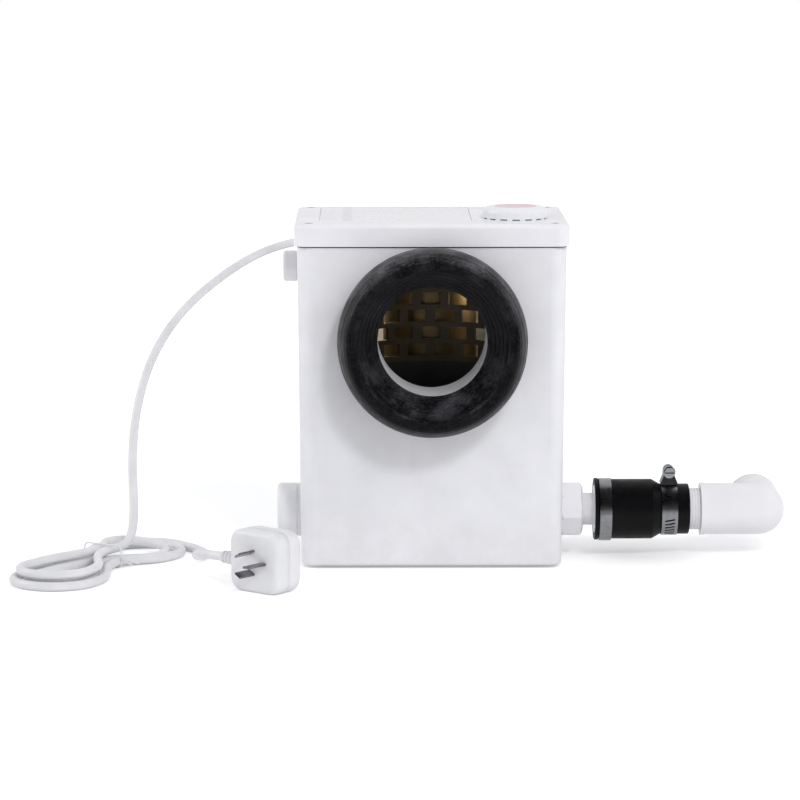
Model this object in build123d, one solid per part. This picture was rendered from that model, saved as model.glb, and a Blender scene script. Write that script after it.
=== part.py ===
from build123d import *
import math
import os

# Macerator toilet pump. Millimetres, +X to the discharge side, +Y to the rear, +Z up.
# The origin is the centre of the footprint, on the floor.

# Shared clearances and overruns
overrun = 3.0
slip = 0.05
seat_gap = 0.3
loose_gap = 0.6
hex_sides = 6
tiny = 1e-9

# Tank
tank_width = 213.0
tank_depth = 156.0
base_inset = 3.0
base_width = tank_width - 2 * base_inset
base_depth = tank_depth - 2 * base_inset
mat_height = 2.0
mat_recess = 1.0
mat_inset = 13.0
ledge_height = 256.5
tank_wall = 4.0
tank_corner = 10.0
tank_base_edge = 3.0
lip_wall = 2.0
lip_height = 9.5
tank_rise = ledge_height - mat_height
draft = math.degrees(math.atan((tank_width - base_width) / 2 / tank_rise))
floor_level = mat_height + tank_wall

# Corner posts that take the lid screws, and the ribs that carry the platform
lid_post_inset = 9.5
lid_post_x = tank_width / 2 - lid_post_inset
lid_post_y = tank_depth / 2 - lid_post_inset
lid_post_radius = 6.0
rib_width = 10.0
rib_reach = 12.5
rib_place = 48.0

# Lid
lid_overhang = 2.0
lid_width = tank_width + 2 * lid_overhang
lid_depth = tank_depth + 2 * lid_overhang
lid_corner = 11.0
lid_skirt = 17.5
lid_top_wall = 3.5
lid_edge_radius = 3.5
skirt_gap = 0.4
seal_thickness = 1.0
seal_width = 1.7
lid_low = ledge_height + seal_thickness
lid_top = lid_low + lid_skirt
lid_boss_radius = 4.6
lid_screw_radius = 1.95
lid_screw_head = 3.8
lid_screw_cone = 2.0
lid_screw_length = 30.0
thread_clearance = 0.05
cross_length_share = 1.1
cross_width_share = 0.28

# Panel let into the lid
panel_left = -89.0
panel_right = 32.0
panel_front = -52.0
panel_rear = 71.0
panel_thickness = 1.0
panel_line = 0.35
panel_front_radius = 9.0

# Vent cap, its disc and the carbon pad
vent_x = 67.0
vent_y = -23.0
vent_radius = 26.0
vent_height = 9.5
vent_edge_radius = 5.0
vent_wall = 2.0
vent_slot_width = 6.0
vent_slot_height = 0.8
vent_slots = 16
vent_disc_radius = 17.0
vent_disc_depth = 0.8
vent_spigot_wall = 1.6
vent_spigot_depth = 4.0
well_radius = 21.5
well_wall = 2.0
well_floor = 1.8
well_depth = 14.0
pad_thickness = 7.0
pad_gap = 0.3
well_hole_radius = 3.0
well_hole_ring = 12.0
well_holes = 6

# Inlet spigot and rubber boot
inlet_z = 184.5
spigot_outer = 46.0
spigot_inner = 43.0
spigot_front = 17.0
spigot_rear = 28.0
boot_mouth = 58.5
boot_land = 7.0
boot_length = 49.0
boot_bulge = 74.6
boot_root = 63.0
boot_wall = 4.2
boot_rib_count = 5
boot_edge = 1.1
boot_outer_shares = (
    (0.0, 0.0), (0.11, 0.62), (0.27, 0.92), (0.45, 1.0), (0.62, 0.95), (0.8, 0.78), (0.92, 0.55), (0.978, 0.38),
    (1.0, 0.22),
)
boot_rib_shares = ((0.0, 0.0), (0.7, 0.2))
boot_groove_shares = ((0.5, 0.93), (0.22, 0.79))
boot_sleeve_wall = 4.0

# Basket screen and cutter bowl
screen_centre_y = -68.0
screen_inner = 58.0
screen_wall = 2.5
screen_low = 158.0
screen_high = 236.0
basket_front = -71.5
window_rows = 5
window_first = 167.6
window_row_pitch = 13.7
window_height = 9.8
window_width = 15.4
window_pitch_angle = 22.0
windows_each_side = 3
bowl_low = 86.0
bowl_wall = 2.5
bowl_inner = 37.0
ramp_high = 36.0
ramp_run = 60.0
bowl_slots = 22
bowl_slot_width = 3.2
bowl_slot_low = 91.0
bowl_slot_high = 113.0
bowl_slot_step = 11.0

# Motor platform
motor_y = 31.0
platform_low = 122.0
platform_thickness = 3.5
platform_side_gap = 8.5
platform_front_gap = 13.0
platform_rear_gap = 8.0
platform_half_x = tank_width / 2 - platform_side_gap
platform_front_y = platform_front_gap - tank_depth / 2
platform_rear_y = tank_depth / 2 - platform_rear_gap
platform_notch = 8.0
platform_clear = 0.8
platform_screw_head = 3.6
platform_screw_high = 2.4
platform_screw_inset = 4.0
platform_screw_length = 14.0
platform_high = platform_low + platform_thickness

# Motor
motor_outer = 38.0
motor_wall = 2.2
motor_high = 232.0
motor_cover_height = 14.0
motor_cover_wall = 2.4
motor_cover_fillet = 5.0
motor_foot_radius = 43.0
shaft_radius = 5.0
shaft_low = 21.0
shaft_high = 242.5
bearing_outer = 12.0
bearing_height = 8.0
bearing_seat_wall = 2.5
bearing_groove_share = 0.125
shaft_edge_share = 0.125
stator_gap = 0.1
stator_low = 162.0
stator_high = 210.0
stator_bore = 19.0
stator_slots = 12
slot_width = 4.6
slot_depth = 9.0
slot_mouth = 1.5
winding_rise = 11.0
winding_inset = 0.5
rotor_gap = 0.5
rotor_margin = 1.0
shaft_seal_outer = 11.0
shaft_seal_height = 6.0

# Cutter
cutter_z = 94.0
cutter_hub_radius = 9.5
cutter_hub_height = 14.0
cutter_hub_edge = 1.6
cutter_reach = 33.0
cutter_blade_width = 13.0
cutter_blade_thickness = 3.0
cutter_tip_height = 9.0
cutter_tip_length = 5.0
cutter_turn = 40.0

# Pump: volute, impeller, suction plate
duct_y = -18.0
duct_z = 38.0
volute_low = 19.5
volute_high = 56.0
volute_wall = 3.5
volute_rear_radius = 39.0
volute_front_radius = 42.0
volute_front_y = 8.0
volute_post_radius = 4.0
volute_post_ring = 29.0
volute_post_angles = (20.0, 90.0, 160.0, 270.0)
duct_outer = 18.0
duct_inner = 13.5
duct_end = 62.0
suction_thickness = 3.5
suction_eye = 14.0
suction_leg_radius = 4.0
suction_leg_ring = 30.0
impeller_radius = 33.0
impeller_low = 28.0
impeller_high = 47.0
impeller_plate = 3.0
impeller_hub = 9.0
impeller_vanes = 6
impeller_vane = 2.6
impeller_vane_sweep = 28.0
impeller_nut_radius = 8.0
impeller_nut_height = 6.0
pump_bush_outer = 9.0
pump_screw_radius = 2.0
pump_screw_head = 3.6
pump_screw_head_height = 2.0
pump_screw_length = 9.0
pump_screw_angles = (30.0, 150.0, 210.0, 330.0)

# Discharge valve
valve_inlet = 50.0
valve_seat_x = 66.0
valve_outlet = 97.0
valve_outer = 21.0
valve_inner = 18.0
valve_seat_wall = 2.5
valve_bore = 10.5
valve_end_wall = 3.0
valve_tail = 112.0
valve_tail_outer = 14.2
valve_tail_inner = 11.5
flap_radius = 12.5
flap_thickness = 3.0
flap_eye_radius = 2.6
flap_eye_half = 5.5
flap_pin_radius = 1.5
flap_pin_half = 14.0
flap_pin_rise = 13.5
flap_pin_x = 69.3

# Side stubs, caps and plugs
stub_outer = 18.0
stub_reach = 13.0
stub_bore = 14.25
side_cap_outer = 21.5
side_cap_reach = 16.9
side_cap_end = -tank_width / 2 - side_cap_reach
side_cap_rim = 3.0
side_cap_rim_step = 0.7
side_cap_edge = 2.5
upper_plug_z = 236.0
upper_plug_radius = 12.5
upper_plug_reach = 12.0
upper_plug_edge = 2.0
upper_plug_spigot = 8.5
upper_plug_depth = 12.0
pad_height = 1.2

# Discharge run outside the tank
tail_flange_thickness = 2.0
tail_neck = 13.0
tail_bore = 10.5
nut_corner = 22.5
nut_turn = 9.0
nut_sides = 8
nut_outer_x = 122.6
nut_chamfer = 2.2
sleeve_start = 132.2
sleeve_lip = 3.4
sleeve_lip_radius = 25.0
sleeve_large = 24.15
sleeve_taper_start = 178.6
sleeve_taper_end = 185.3
sleeve_small = 20.35
sleeve_end = 208.6
sleeve_large_bore = 19.8
sleeve_step_x = 173.0
tail_spigot_end = 170.0
small_band_start = 136.0
small_band_width = 9.6
small_band_thickness = 0.7
worm_band_start = 186.2
worm_band_width = 12.7
worm_band_thickness = 0.7
worm_slots = 7
worm_slot_pitch = 3.4
worm_slot_length = 8.0
worm_slot_width = 1.4
worm_slot_middle = 225.0
worm_lift = 10.0
worm_slot_tilt = 12.0
housing_length = 13.6
housing_width = 12.4
housing_wall = 1.1
worm_radius = 3.3
worm_head_radius = 4.4
worm_head_length = 5.0
worm_length = 15.0
worm_slot = 1.1
worm_core = 2.5
worm_pitch = 2.2
pipe_outer = 16.0
pipe_inner = 13.0
pipe_start = 176.0
pipe_ring = 16.8
pipe_ring_start = 209.2
pipe_ring_width = 1.5
pipe_ring_gap = 0.6
pipe_rings = 4
elbow_start = 218.0
elbow_outer = 20.7
elbow_centre_x = 265.5
elbow_leg = 44.0
elbow_socket = 16.05
elbow_socket_depth = 22.0
elbow_bore = 13.5
elbow_rim = 0.5
elbow_rim_width = 3.0

# Level switch
switch_x = -70.0
switch_y = 12.0
dip_outer = 9.0
dip_inner = 7.0
dip_low = 12.0
chamber_low = 186.0
chamber_lower_height = 17.0
chamber_upper_height = 15.0
chamber_split = chamber_low + chamber_lower_height
chamber_high = chamber_split + chamber_upper_height
chamber_radius = 23.0
chamber_wall = 2.5
diaphragm_radius = 19.5
diaphragm_thickness = 1.2
diaphragm_hub = 7.0
diaphragm_hub_height = 4.0
plunger_radius = 2.5
plunger_rise = 1.8
switch_body_length = 28.0
switch_body_width = 11.0
switch_body_height = 16.0
switch_foot = 3.0
lever_length = 22.0
lever_thickness = 0.8
lever_eye = 1.8
lever_pin_radius = 0.8
lever_pivot_x = -55.0
lever_pin_half = 4.5
lever_fork_wall = 2.0

# Electrical pieces
capacitor_x = 72.0
capacitor_y = 44.0
capacitor_radius = 17.5
capacitor_height = 62.0
capacitor_edge = 2.0
capacitor_blade_height = 8.0
capacitor_blade_thickness = 0.8
terminal_x = -70.0
terminal_y = 52.0
terminal_length = 36.0
terminal_width = 18.0
terminal_height = 16.0
terminal_poles = 4
terminal_slot = 3.0

# Mains lead
bend_share = 0.45
cord_radius = 3.6
gland_x = -78.0
gland_z = 242.0
gland_pad = 10.5
gland_hole = 7.0
gland_flange = 9.0
gland_flange_thickness = 3.0
gland_tip = 103.0
gland_taper_root = 6.8
gland_taper_tip = 4.7
gland_inner_reach = 8.0
gland_ribs = 5
gland_groove = 1.6
gland_groove_depth = 0.9
inner_lead_radius = 3.1
wire_radius = 1.1
wire_ring = 1.4
wire_rise = 7.0
wire_angles = (210.0, 90.0, 330.0)

# Hank of the mains lead
hank_x = -262.0
hank_y = -62.0
hank_turn = 57.0
hank_pitch = 8.1
hank_floor = 3.7
hank_start = 5.0
hank_exit_turn = 20.0
neighbour_radii = 6.0
hank_left_loops = ((28.0, 110.0), (23.0, 103.0), (33.5, 115.0))
hank_right_loops = ((23.0, 68.0), (32.0, 84.0))
hank_neck = 44.0
hank_spread = 1.6
tie_lift = 1.5
tie_radius = 0.6
tie_half_width = 18.3
tie_low = 0.7
tie_high = 17.8
tie_corner = 4.0
tie_tail = 14.0

# Routes of the mains lead and the leads inside, as chosen points
lead_end_run = 19.0
plug_end_run = 24.0
cord_route = [
    (-78.0, 103.0, 242.0),
    (-78.0, 122.0, 242.0),
    (-87.3, 139.1, 241.2),
    (-103.7, 149.6, 239.4),
    (-123.2, 150.6, 235.8),
    (-144.5, 141.0, 228.5),
    (-163.0, 120.0, 219.5),
    (-181.0, 93.5, 208.5),
    (-200.5, 69.0, 193.0),
    (-218.0, 48.5, 172.0),
    (-231.0, 34.0, 146.5),
    (-238.8, 22.5, 118.0),
    (-241.9, 10.5, 92.0),
    (-242.2, 0.0, 66.0),
    (-240.1, -10.6, 37.8),
    (-240.7, -26.3, 19.9),
]
lead_middle = [
    (-180.5, -45.2, 5.2),
    (-185.5, -68.0, 9.2),
    (-187.0, -91.5, 14.5),
]
inner_lead_route = [
    (-78.0, 56.0, 242.0),
    (-78.0, 47.0, 237.0),
    (-77.5, 41.5, 228.0),
    (-77.0, 40.0, 216.0),
    (-75.5, 42.0, 198.0),
    (-73.0, 48.0, 180.0),
    (-71.0, 52.0, 171.0),
]
inner_lead_end = (-71.0, 52.0, 162.0)
motor_wire_route = [
    (-58.0, 31.0, 136.0),
    (-48.0, 31.0, 141.0),
]
capacitor_wire_route = [
    (-52.0, 33.0, 150.0),
    (-47.0, 52.0, 172.0),
    (-28.0, 71.2, 190.0),
    (28.0, 71.2, 196.0),
    (60.0, 58.0, 208.0),
]
switch_wire_route = [
    (-66.0, 38.5, 150.0),
    (-62.0, 38.5, 175.0),
    (-62.0, 38.5, 208.0),
    (-62.0, 35.5, 226.0),
]

# Plug
plug_x = -129.0
plug_y = -160.0
plug_turn = 40.0
plug_width = 50.0
plug_depth = 31.0
plug_height = 48.0
plug_corner = 9.0
plug_edge = 4.0
plug_entry = 21.0
plug_centre = 24.0
relief_length = 20.0
relief_root = 6.2
relief_tip = 4.6
blade_width = 6.3
blade_thickness = 1.6
blade_length = 17.0
blade_spacing = 7.9
blade_slant = -30.0
earth_place = 10.3
earth_length = 20.0
blade_edge = 0.5
plug_face_inset = 1.0

os.makedirs("parts", exist_ok=True)


def save(shape, name):
    export_step(shape, "parts/" + name + ".step")


def middle(low, high):
    return (low + high) / 2


def upright(x, y, low, high, radius):
    return Pos(x, y, middle(low, high)) * Cylinder(radius, high - low)


def bar_x(low, high, y, z, radius):
    return Pos(middle(low, high), y, z) * Rot(0, 90, 0) * Cylinder(radius, high - low)


def bar_y(x, low, high, z, radius):
    return Pos(x, middle(low, high), z) * Rot(90, 0, 0) * Cylinder(radius, high - low)


def block(x_low, x_high, y_low, y_high, z_low, z_high):
    centre = Pos(middle(x_low, x_high), middle(y_low, y_high), middle(z_low, z_high))
    return centre * Box(x_high - x_low, y_high - y_low, z_high - z_low)


def turned_x(points):
    return revolve(make_face(Polyline(*[(along, out) for along, out in points], close=True)), Axis.X)


def turned_y(points):
    return revolve(make_face(Polyline(*[(out, along) for along, out in points], close=True)), Axis.Y)


def turned_z(points):
    outline = [(out, 0, along) for along, out in points]
    return revolve(make_face(Polyline(*outline, close=True)), Axis.Z)


def tube_x(low, high, y, z, outer, inner):
    return bar_x(low, high, y, z, outer) - bar_x(low - overrun, high + overrun, y, z, inner)


def tube_z(x, y, low, high, outer, inner):
    return upright(x, y, low, high, outer) - upright(x, y, low - overrun, high + overrun, inner)


def slab(width, depth, corner, low, high):
    return extrude(Pos(0, 0, low) * RectangleRounded(width, depth, corner), high - low)


def half_depth(height):
    return base_depth / 2 + (height - mat_height) * math.tan(math.radians(draft))


def half_width(height):
    return base_width / 2 + (height - mat_height) * math.tan(math.radians(draft))


def tapered_box(width, depth, corner, low, high):
    return extrude(Pos(0, 0, low) * RectangleRounded(width, depth, corner), high - low, taper=-draft)


def cross_cut(x, y, top, radius, depth):
    long = radius * cross_length_share / 2
    wide = radius * cross_width_share / 2
    one = block(x - long, x + long, y - wide, y + wide, top - depth, top + overrun)
    return one + block(x - wide, x + wide, y - long, y + long, top - depth, top + overrun)


# Casing

def tank():
    body = tapered_box(base_width, base_depth, tank_corner, mat_height, ledge_height)
    body = fillet(body.faces().sort_by(Axis.Z)[0].edges(), tank_base_edge)
    inner_top = tank_width - 2 * tank_wall
    inner_depth = tank_depth - 2 * tank_wall
    lip_width = inner_top + 2 * lip_wall
    lip_depth = inner_depth + 2 * lip_wall
    corner = tank_corner - tank_wall
    body += slab(lip_width, lip_depth, corner + lip_wall, ledge_height, ledge_height + lip_height)
    shrink = 2 * (half_width(ledge_height) - half_width(floor_level))
    hollow = tapered_box(inner_top - shrink, inner_depth - shrink, corner, floor_level, ledge_height)
    hollow += slab(inner_top, inner_depth, corner, ledge_height, ledge_height + lip_height + overrun)
    y_face = half_depth(inlet_z)
    tube = bar_y(0, -y_face - spigot_front, -y_face + tank_wall + spigot_rear, inlet_z, spigot_outer)
    posts = Part()
    for x in (-lid_post_x, lid_post_x):
        for y in (-lid_post_y, lid_post_y):
            posts += upright(x, y, floor_level - tank_wall / 2, ledge_height + lip_height, lid_post_radius)
    for side in (-1, 1):
        for y in (-rib_place, rib_place):
            near = tank_width / 2 - tank_wall - rib_reach
            far = base_width / 2 - tank_wall / 2
            rib = block(near, far, y - rib_width / 2, y + rib_width / 2, floor_level - tank_wall / 2,
                        platform_low)
            posts += rib if side > 0 else mirror(rib, Plane.YZ)
    outer = body
    body = body - hollow + (posts & outer)
    body += tube
    wall_x = half_width(duct_z)
    for side in (-1, 1):
        low, high = sorted((side * (wall_x - tank_wall), side * (wall_x + stub_reach)))
        body += bar_x(low, high, duct_y, duct_z, stub_outer)
        low, high = sorted((side * (wall_x - tank_wall - overrun), side * (wall_x + stub_reach + overrun)))
        body -= bar_x(low, high, duct_y, duct_z, stub_bore)
    body -= bar_y(0, -y_face - spigot_front - overrun, -y_face + tank_wall + spigot_rear + overrun, inlet_z,
                  spigot_inner)
    pad_y = half_depth(gland_z) + pad_height
    body += bar_y(gland_x, half_depth(gland_z) - tank_wall, pad_y, gland_z, gland_pad)
    body -= bar_y(gland_x, half_depth(gland_z) - tank_wall - overrun, pad_y + overrun, gland_z, gland_hole)
    pad_x = half_width(upper_plug_z) + pad_height
    plug_pad = upper_plug_radius - pad_height
    body += bar_x(-pad_x, -half_width(upper_plug_z) + tank_wall, duct_y, upper_plug_z, plug_pad)
    body -= bar_x(-pad_x - overrun, -half_width(upper_plug_z) + tank_wall + overrun, duct_y, upper_plug_z,
                  upper_plug_spigot + slip)
    for x in (-lid_post_x, lid_post_x):
        for y in (-lid_post_y, lid_post_y):
            top = ledge_height + lip_height
            body -= upright(x, y, lid_top - lid_screw_length - overrun, top + overrun,
                            lid_screw_radius + thread_clearance)
    for x, y in platform_screw_places():
        body -= upright(x, y, platform_low - platform_screw_length, platform_low + overrun,
                        lid_screw_radius + thread_clearance)
    return body - mat_shape(mat_height - overrun, mat_height + mat_recess, slip)


def platform_screw_places():
    place_x = tank_width / 2 - tank_wall - rib_reach + platform_screw_inset
    return [(x, y) for x in (-place_x, place_x) for y in (-rib_place, rib_place)]


def mat_shape(low, high, margin):
    width = base_width - 2 * mat_inset + 2 * margin
    depth = base_depth - 2 * mat_inset + 2 * margin
    return slab(width, depth, tank_corner, low, high)


def base_mat():
    return mat_shape(0, mat_height + mat_recess, 0)


def lid():
    body = slab(lid_width, lid_depth, lid_corner, lid_low, lid_top)
    body = fillet(body.faces().sort_by(Axis.Z)[-1].edges(), lid_edge_radius)
    lip_width = tank_width - 2 * tank_wall + 2 * lip_wall
    lip_depth = tank_depth - 2 * tank_wall + 2 * lip_wall
    corner = tank_corner - tank_wall + lip_wall
    roof = lid_top - lid_top_wall
    body -= slab(lip_width + 2 * skirt_gap, lip_depth + 2 * skirt_gap, corner + skirt_gap,
                 lid_low - overrun, roof)
    lip_top = ledge_height + lip_height
    well_low = lid_top - well_depth
    body += upright(vent_x, vent_y, well_low, lid_top - lid_top_wall / 2, well_radius + well_wall)
    body -= upright(vent_x, vent_y, well_low + well_floor, lid_top + overrun, well_radius)
    for step in range(well_holes):
        spot = Pos(vent_x, vent_y, 0) * Rot(0, 0, 360 * step / well_holes)
        body -= spot * upright(well_hole_ring, 0, well_low - overrun, lid_top, well_hole_radius)
    body -= upright(vent_x, vent_y, well_low - overrun, lid_top, well_hole_radius)
    for x in (-lid_post_x, lid_post_x):
        for y in (-lid_post_y, lid_post_y):
            body += upright(x, y, lip_top + seat_gap, lid_top - lid_top_wall / 2, lid_boss_radius)
            body -= upright(x, y, lip_top - overrun, lid_top + overrun, lid_screw_radius + slip)
            body -= countersink(x, y, slip)
    body -= panel_shape(lid_top - panel_thickness, lid_top + overrun, 0)
    return body


def countersink(x, y, margin):
    cone = turned_z([
        (lid_top - lid_screw_cone - margin, 0),
        (lid_top - lid_screw_cone - margin, lid_screw_radius + margin),
        (lid_top, lid_screw_head + margin),
        (lid_top, 0),
    ])
    return Pos(x, y, 0) * cone


def lid_screws():
    group = []
    for x in (-lid_post_x, lid_post_x):
        for y in (-lid_post_y, lid_post_y):
            shank = upright(x, y, lid_top - lid_screw_length, lid_top - lid_screw_cone / 2, lid_screw_radius)
            screw = countersink(x, y, 0) + shank
            group.append(screw - cross_cut(x, y, lid_top, lid_screw_head, lid_screw_cone / 2))
    return Compound(children=group)


def panel_shape(low, high, inset):
    x_low = panel_left + inset
    x_high = panel_right - inset
    y_low = panel_front + inset
    y_high = panel_rear - inset
    shape = block(x_low, x_high, y_low, y_high, low, high)
    edges = shape.edges().filter_by(Axis.Z)
    return fillet(edges, panel_front_radius - inset)


def label_panel():
    return panel_shape(lid_top - panel_thickness, lid_top - panel_line / 2, panel_line)


def lid_seal():
    lip_width = tank_width - 2 * tank_wall + 2 * lip_wall
    lip_depth = tank_depth - 2 * tank_wall + 2 * lip_wall
    corner = tank_corner - tank_wall + lip_wall
    outer = slab(lip_width + 2 * seal_width, lip_depth + 2 * seal_width, corner + seal_width,
                 ledge_height, lid_low)
    inner = slab(lip_width + seat_gap, lip_depth + seat_gap, corner + seat_gap / 2,
                 ledge_height - overrun, lid_low + overrun)
    return outer - inner


def vent_cap():
    low = lid_top
    high = lid_top + vent_height
    body = upright(vent_x, vent_y, low, high, vent_radius)
    body = fillet(body.edges().sort_by(Axis.Z)[-1], vent_edge_radius)
    body -= upright(vent_x, vent_y, low - overrun, high - vent_wall - vent_disc_depth, vent_radius - vent_wall)
    spigot = tube_z(vent_x, vent_y, lid_top - vent_spigot_depth, high - vent_wall,
                    well_radius - slip, well_radius - slip - vent_spigot_wall)
    body += spigot
    body -= upright(vent_x, vent_y, high - vent_disc_depth, high + overrun, vent_disc_radius)
    for step in range(vent_slots):
        spot = Pos(vent_x, vent_y, 0) * Rot(0, 0, 360 * step / vent_slots)
        body -= spot * block(well_radius + vent_wall / 2, vent_radius + overrun,
                             -vent_slot_width / 2, vent_slot_width / 2, low - overrun, low + vent_slot_height)
        body -= spot * block(well_radius - vent_spigot_wall - overrun, well_radius + slip,
                             -vent_slot_width / 2, vent_slot_width / 2, low, low + vent_slot_height)
    return body


def vent_disc():
    high = lid_top + vent_height
    body = upright(vent_x, vent_y, high - vent_disc_depth, high, vent_disc_radius - slip)
    return fillet(body.edges().sort_by(Axis.Z)[-1], vent_disc_depth / 2)


def carbon_pad():
    low = lid_top - well_depth + well_floor
    return upright(vent_x, vent_y, low, low + pad_thickness, well_radius - pad_gap)


# Inlet

def inlet_boot():
    face = -half_depth(inlet_z + boot_root) - seat_gap
    bore = spigot_outer + slip
    rise = boot_bulge - boot_root
    outline = [(boot_length * along, boot_root + rise * out) for along, out in boot_outer_shares]
    outline += [
        (boot_length, boot_mouth + boot_edge),
        (boot_length - boot_edge, boot_mouth),
    ]
    steps_start = boot_length - boot_edge - boot_land
    fall = (boot_mouth - spigot_inner) / boot_rib_count
    run = (steps_start - spigot_front) / boot_rib_count
    for step in range(boot_rib_count):
        for along, out in boot_rib_shares:
            outline.append((steps_start - run * (step + along), boot_mouth - fall * (step + out)))
    outline += [
        (spigot_front, spigot_inner),
        (spigot_front, bore),
        (0, bore),
        (0, bore + boot_sleeve_wall),
        (spigot_front - boot_wall, bore + boot_sleeve_wall),
    ]
    outline += [(boot_length * along, boot_root + rise * out - boot_wall) for along, out in boot_groove_shares]
    outline.append((0, boot_root - boot_wall))
    return Pos(0, face, inlet_z) * turned_y([(-along, out) for along, out in outline])


def basket_plan(radius, low, high, front):
    body = upright(0, screen_centre_y, low, high, radius)
    return body & block(-radius, radius, front, screen_centre_y + radius, low, high)


def basket_screen():
    outer = screen_inner + screen_wall
    body = basket_plan(outer, screen_low, screen_high, basket_front)
    body -= basket_plan(screen_inner, screen_low - overrun, screen_high - screen_wall,
                        basket_front + screen_wall)
    body -= bar_y(0, basket_front - overrun, -half_depth(inlet_z) + tank_wall + spigot_rear + seat_gap, inlet_z,
                  spigot_outer + seat_gap)
    for row in range(window_rows):
        z = window_first + window_row_pitch * row
        count = 2 * windows_each_side + row % 2
        for step in range(count):
            angle = window_pitch_angle * (step - (count - 1) / 2)
            spot = Pos(0, screen_centre_y, z) * Rot(0, 0, 90 + angle)
            body -= spot * block(screen_inner - overrun, screen_inner + screen_wall + overrun,
                                 -window_width / 2, window_width / 2, -window_height / 2, window_height / 2)
    return body


def bowl_plan(spread, low, high, front):
    chute = basket_plan(screen_inner + spread, low, high, front)
    well = upright(0, motor_y, low, min(high, platform_low), bowl_inner + spread)
    half = bowl_inner + spread
    bridge = block(-half, half, screen_centre_y, motor_y, low, min(high, platform_low))
    return chute + well + bridge


def cutter_bowl():
    high = screen_low
    outer = bowl_plan(bowl_wall, bowl_low, high, basket_front)
    inner = bowl_plan(0, bowl_low + bowl_wall, high + overrun, basket_front + bowl_wall)
    inner += upright(0, motor_y, platform_low - overrun, platform_low + overrun, bowl_inner)
    body = outer - ramp_wedge(0) - (inner - ramp_wedge(bowl_wall))
    body -= bar_y(0, basket_front - overrun, -half_depth(inlet_z) + tank_wall + spigot_rear + seat_gap, inlet_z,
                  spigot_outer + seat_gap)
    for step in range(bowl_slots):
        angle = 90 + bowl_slot_step * (step - (bowl_slots - 1) / 2)
        spot = Pos(0, motor_y, 0) * Rot(0, 0, angle)
        body -= spot * block(bowl_inner - bowl_wall, bowl_inner + bowl_wall + overrun,
                             -bowl_slot_width / 2, bowl_slot_width / 2, bowl_slot_low, bowl_slot_high)
    body -= upright(0, motor_y, bowl_low - overrun, bowl_low + bowl_wall + overrun, shaft_radius + loose_gap)
    return body


def ramp_wedge(lift):
    start = basket_front - overrun
    points = [
        (start, bowl_low - overrun),
        (basket_front + ramp_run, bowl_low - overrun),
        (basket_front + ramp_run, bowl_low + lift),
        (start, bowl_low + ramp_high + lift),
    ]
    half = screen_inner + bowl_wall + overrun
    face = make_face(Polyline(*[(-half, y, z) for y, z in points], close=True))
    return extrude(face, 2 * half, dir=(1, 0, 0))


# Platform and motor

def platform():
    body = block(-platform_half_x, platform_half_x, platform_front_y, platform_rear_y,
                 platform_low, platform_high)
    clear = screen_inner + bowl_wall + platform_clear
    body -= upright(0, screen_centre_y, platform_low - overrun, platform_high + overrun, clear)
    for x in (-platform_half_x, platform_half_x):
        for y in (platform_front_y, platform_rear_y):
            body -= upright(x, y, platform_low - overrun, platform_high + overrun, platform_notch)
    body -= upright(switch_x, switch_y, platform_low - overrun, platform_high + overrun, dip_outer + slip)
    body -= upright(0, motor_y, platform_low - overrun, platform_high + overrun, shaft_seal_outer + slip)
    for x, y in platform_screw_places():
        body -= upright(x, y, platform_low - overrun, platform_high + overrun,
                        lid_screw_radius + thread_clearance)
    return body


def platform_screws():
    group = []
    top = platform_high + platform_screw_high
    for x, y in platform_screw_places():
        head = upright(x, y, platform_high, top, platform_screw_head)
        head = fillet(head.edges().sort_by(Axis.Z)[-1], platform_screw_high / 3)
        shank = upright(x, y, platform_high - platform_screw_length, platform_high, lid_screw_radius)
        group.append(head + shank - cross_cut(x, y, top, platform_screw_head, platform_screw_high / 2))
    return Compound(children=group)


def shaft_seal():
    return tube_z(0, motor_y, platform_high - shaft_seal_height, platform_high, shaft_seal_outer,
                  shaft_radius + slip)


def bearing(low):
    body = tube_z(0, 0, low, low + bearing_height, bearing_outer, shaft_radius + slip)
    groove = middle(bearing_outer, shaft_radius)
    for level in (low, low + bearing_height):
        depth = bearing_height * bearing_groove_share
        body -= tube_z(0, 0, level - depth, level + depth,
                       groove + bearing_height / 4, groove - bearing_height / 4)
    return Pos(0, motor_y, 0) * body


def bearings():
    return Compound(children=[bearing(lower_bearing_z), bearing(upper_bearing_z)])


lower_bearing_z = platform_high + motor_wall
upper_bearing_z = motor_high + seat_gap


def motor_housing():
    body = upright(0, 0, platform_high, motor_high, motor_outer)
    body += upright(0, 0, platform_high, platform_high + motor_wall, motor_foot_radius) & block(
        -motor_foot_radius, motor_foot_radius, -motor_outer, motor_outer, platform_high, motor_high)
    body -= upright(0, 0, platform_high + motor_wall, motor_high + overrun, motor_outer - motor_wall)
    seat = bearing_outer + bearing_seat_wall
    body += upright(0, 0, platform_high + motor_wall / 2, lower_bearing_z + bearing_height, seat)
    body -= upright(0, 0, lower_bearing_z, motor_high, bearing_outer + slip)
    body -= upright(0, 0, platform_high - overrun, motor_high, shaft_radius + loose_gap)
    return Pos(0, motor_y, 0) * body


def motor_cover():
    high = motor_high + motor_cover_height
    body = upright(0, 0, motor_high, high, motor_outer)
    body = fillet(body.edges().sort_by(Axis.Z)[-1], motor_cover_fillet)
    body -= upright(0, 0, motor_high - overrun, high - motor_cover_wall, motor_outer - motor_wall)
    seat = bearing_outer + bearing_seat_wall
    body += upright(0, 0, motor_high + seat_gap, high - motor_cover_wall / 2, seat)
    body -= upright(0, 0, motor_high - overrun, upper_bearing_z + bearing_height, bearing_outer + slip)
    body -= upright(0, 0, motor_high, shaft_high + loose_gap, shaft_radius + loose_gap)
    return Pos(0, motor_y, 0) * body


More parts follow.
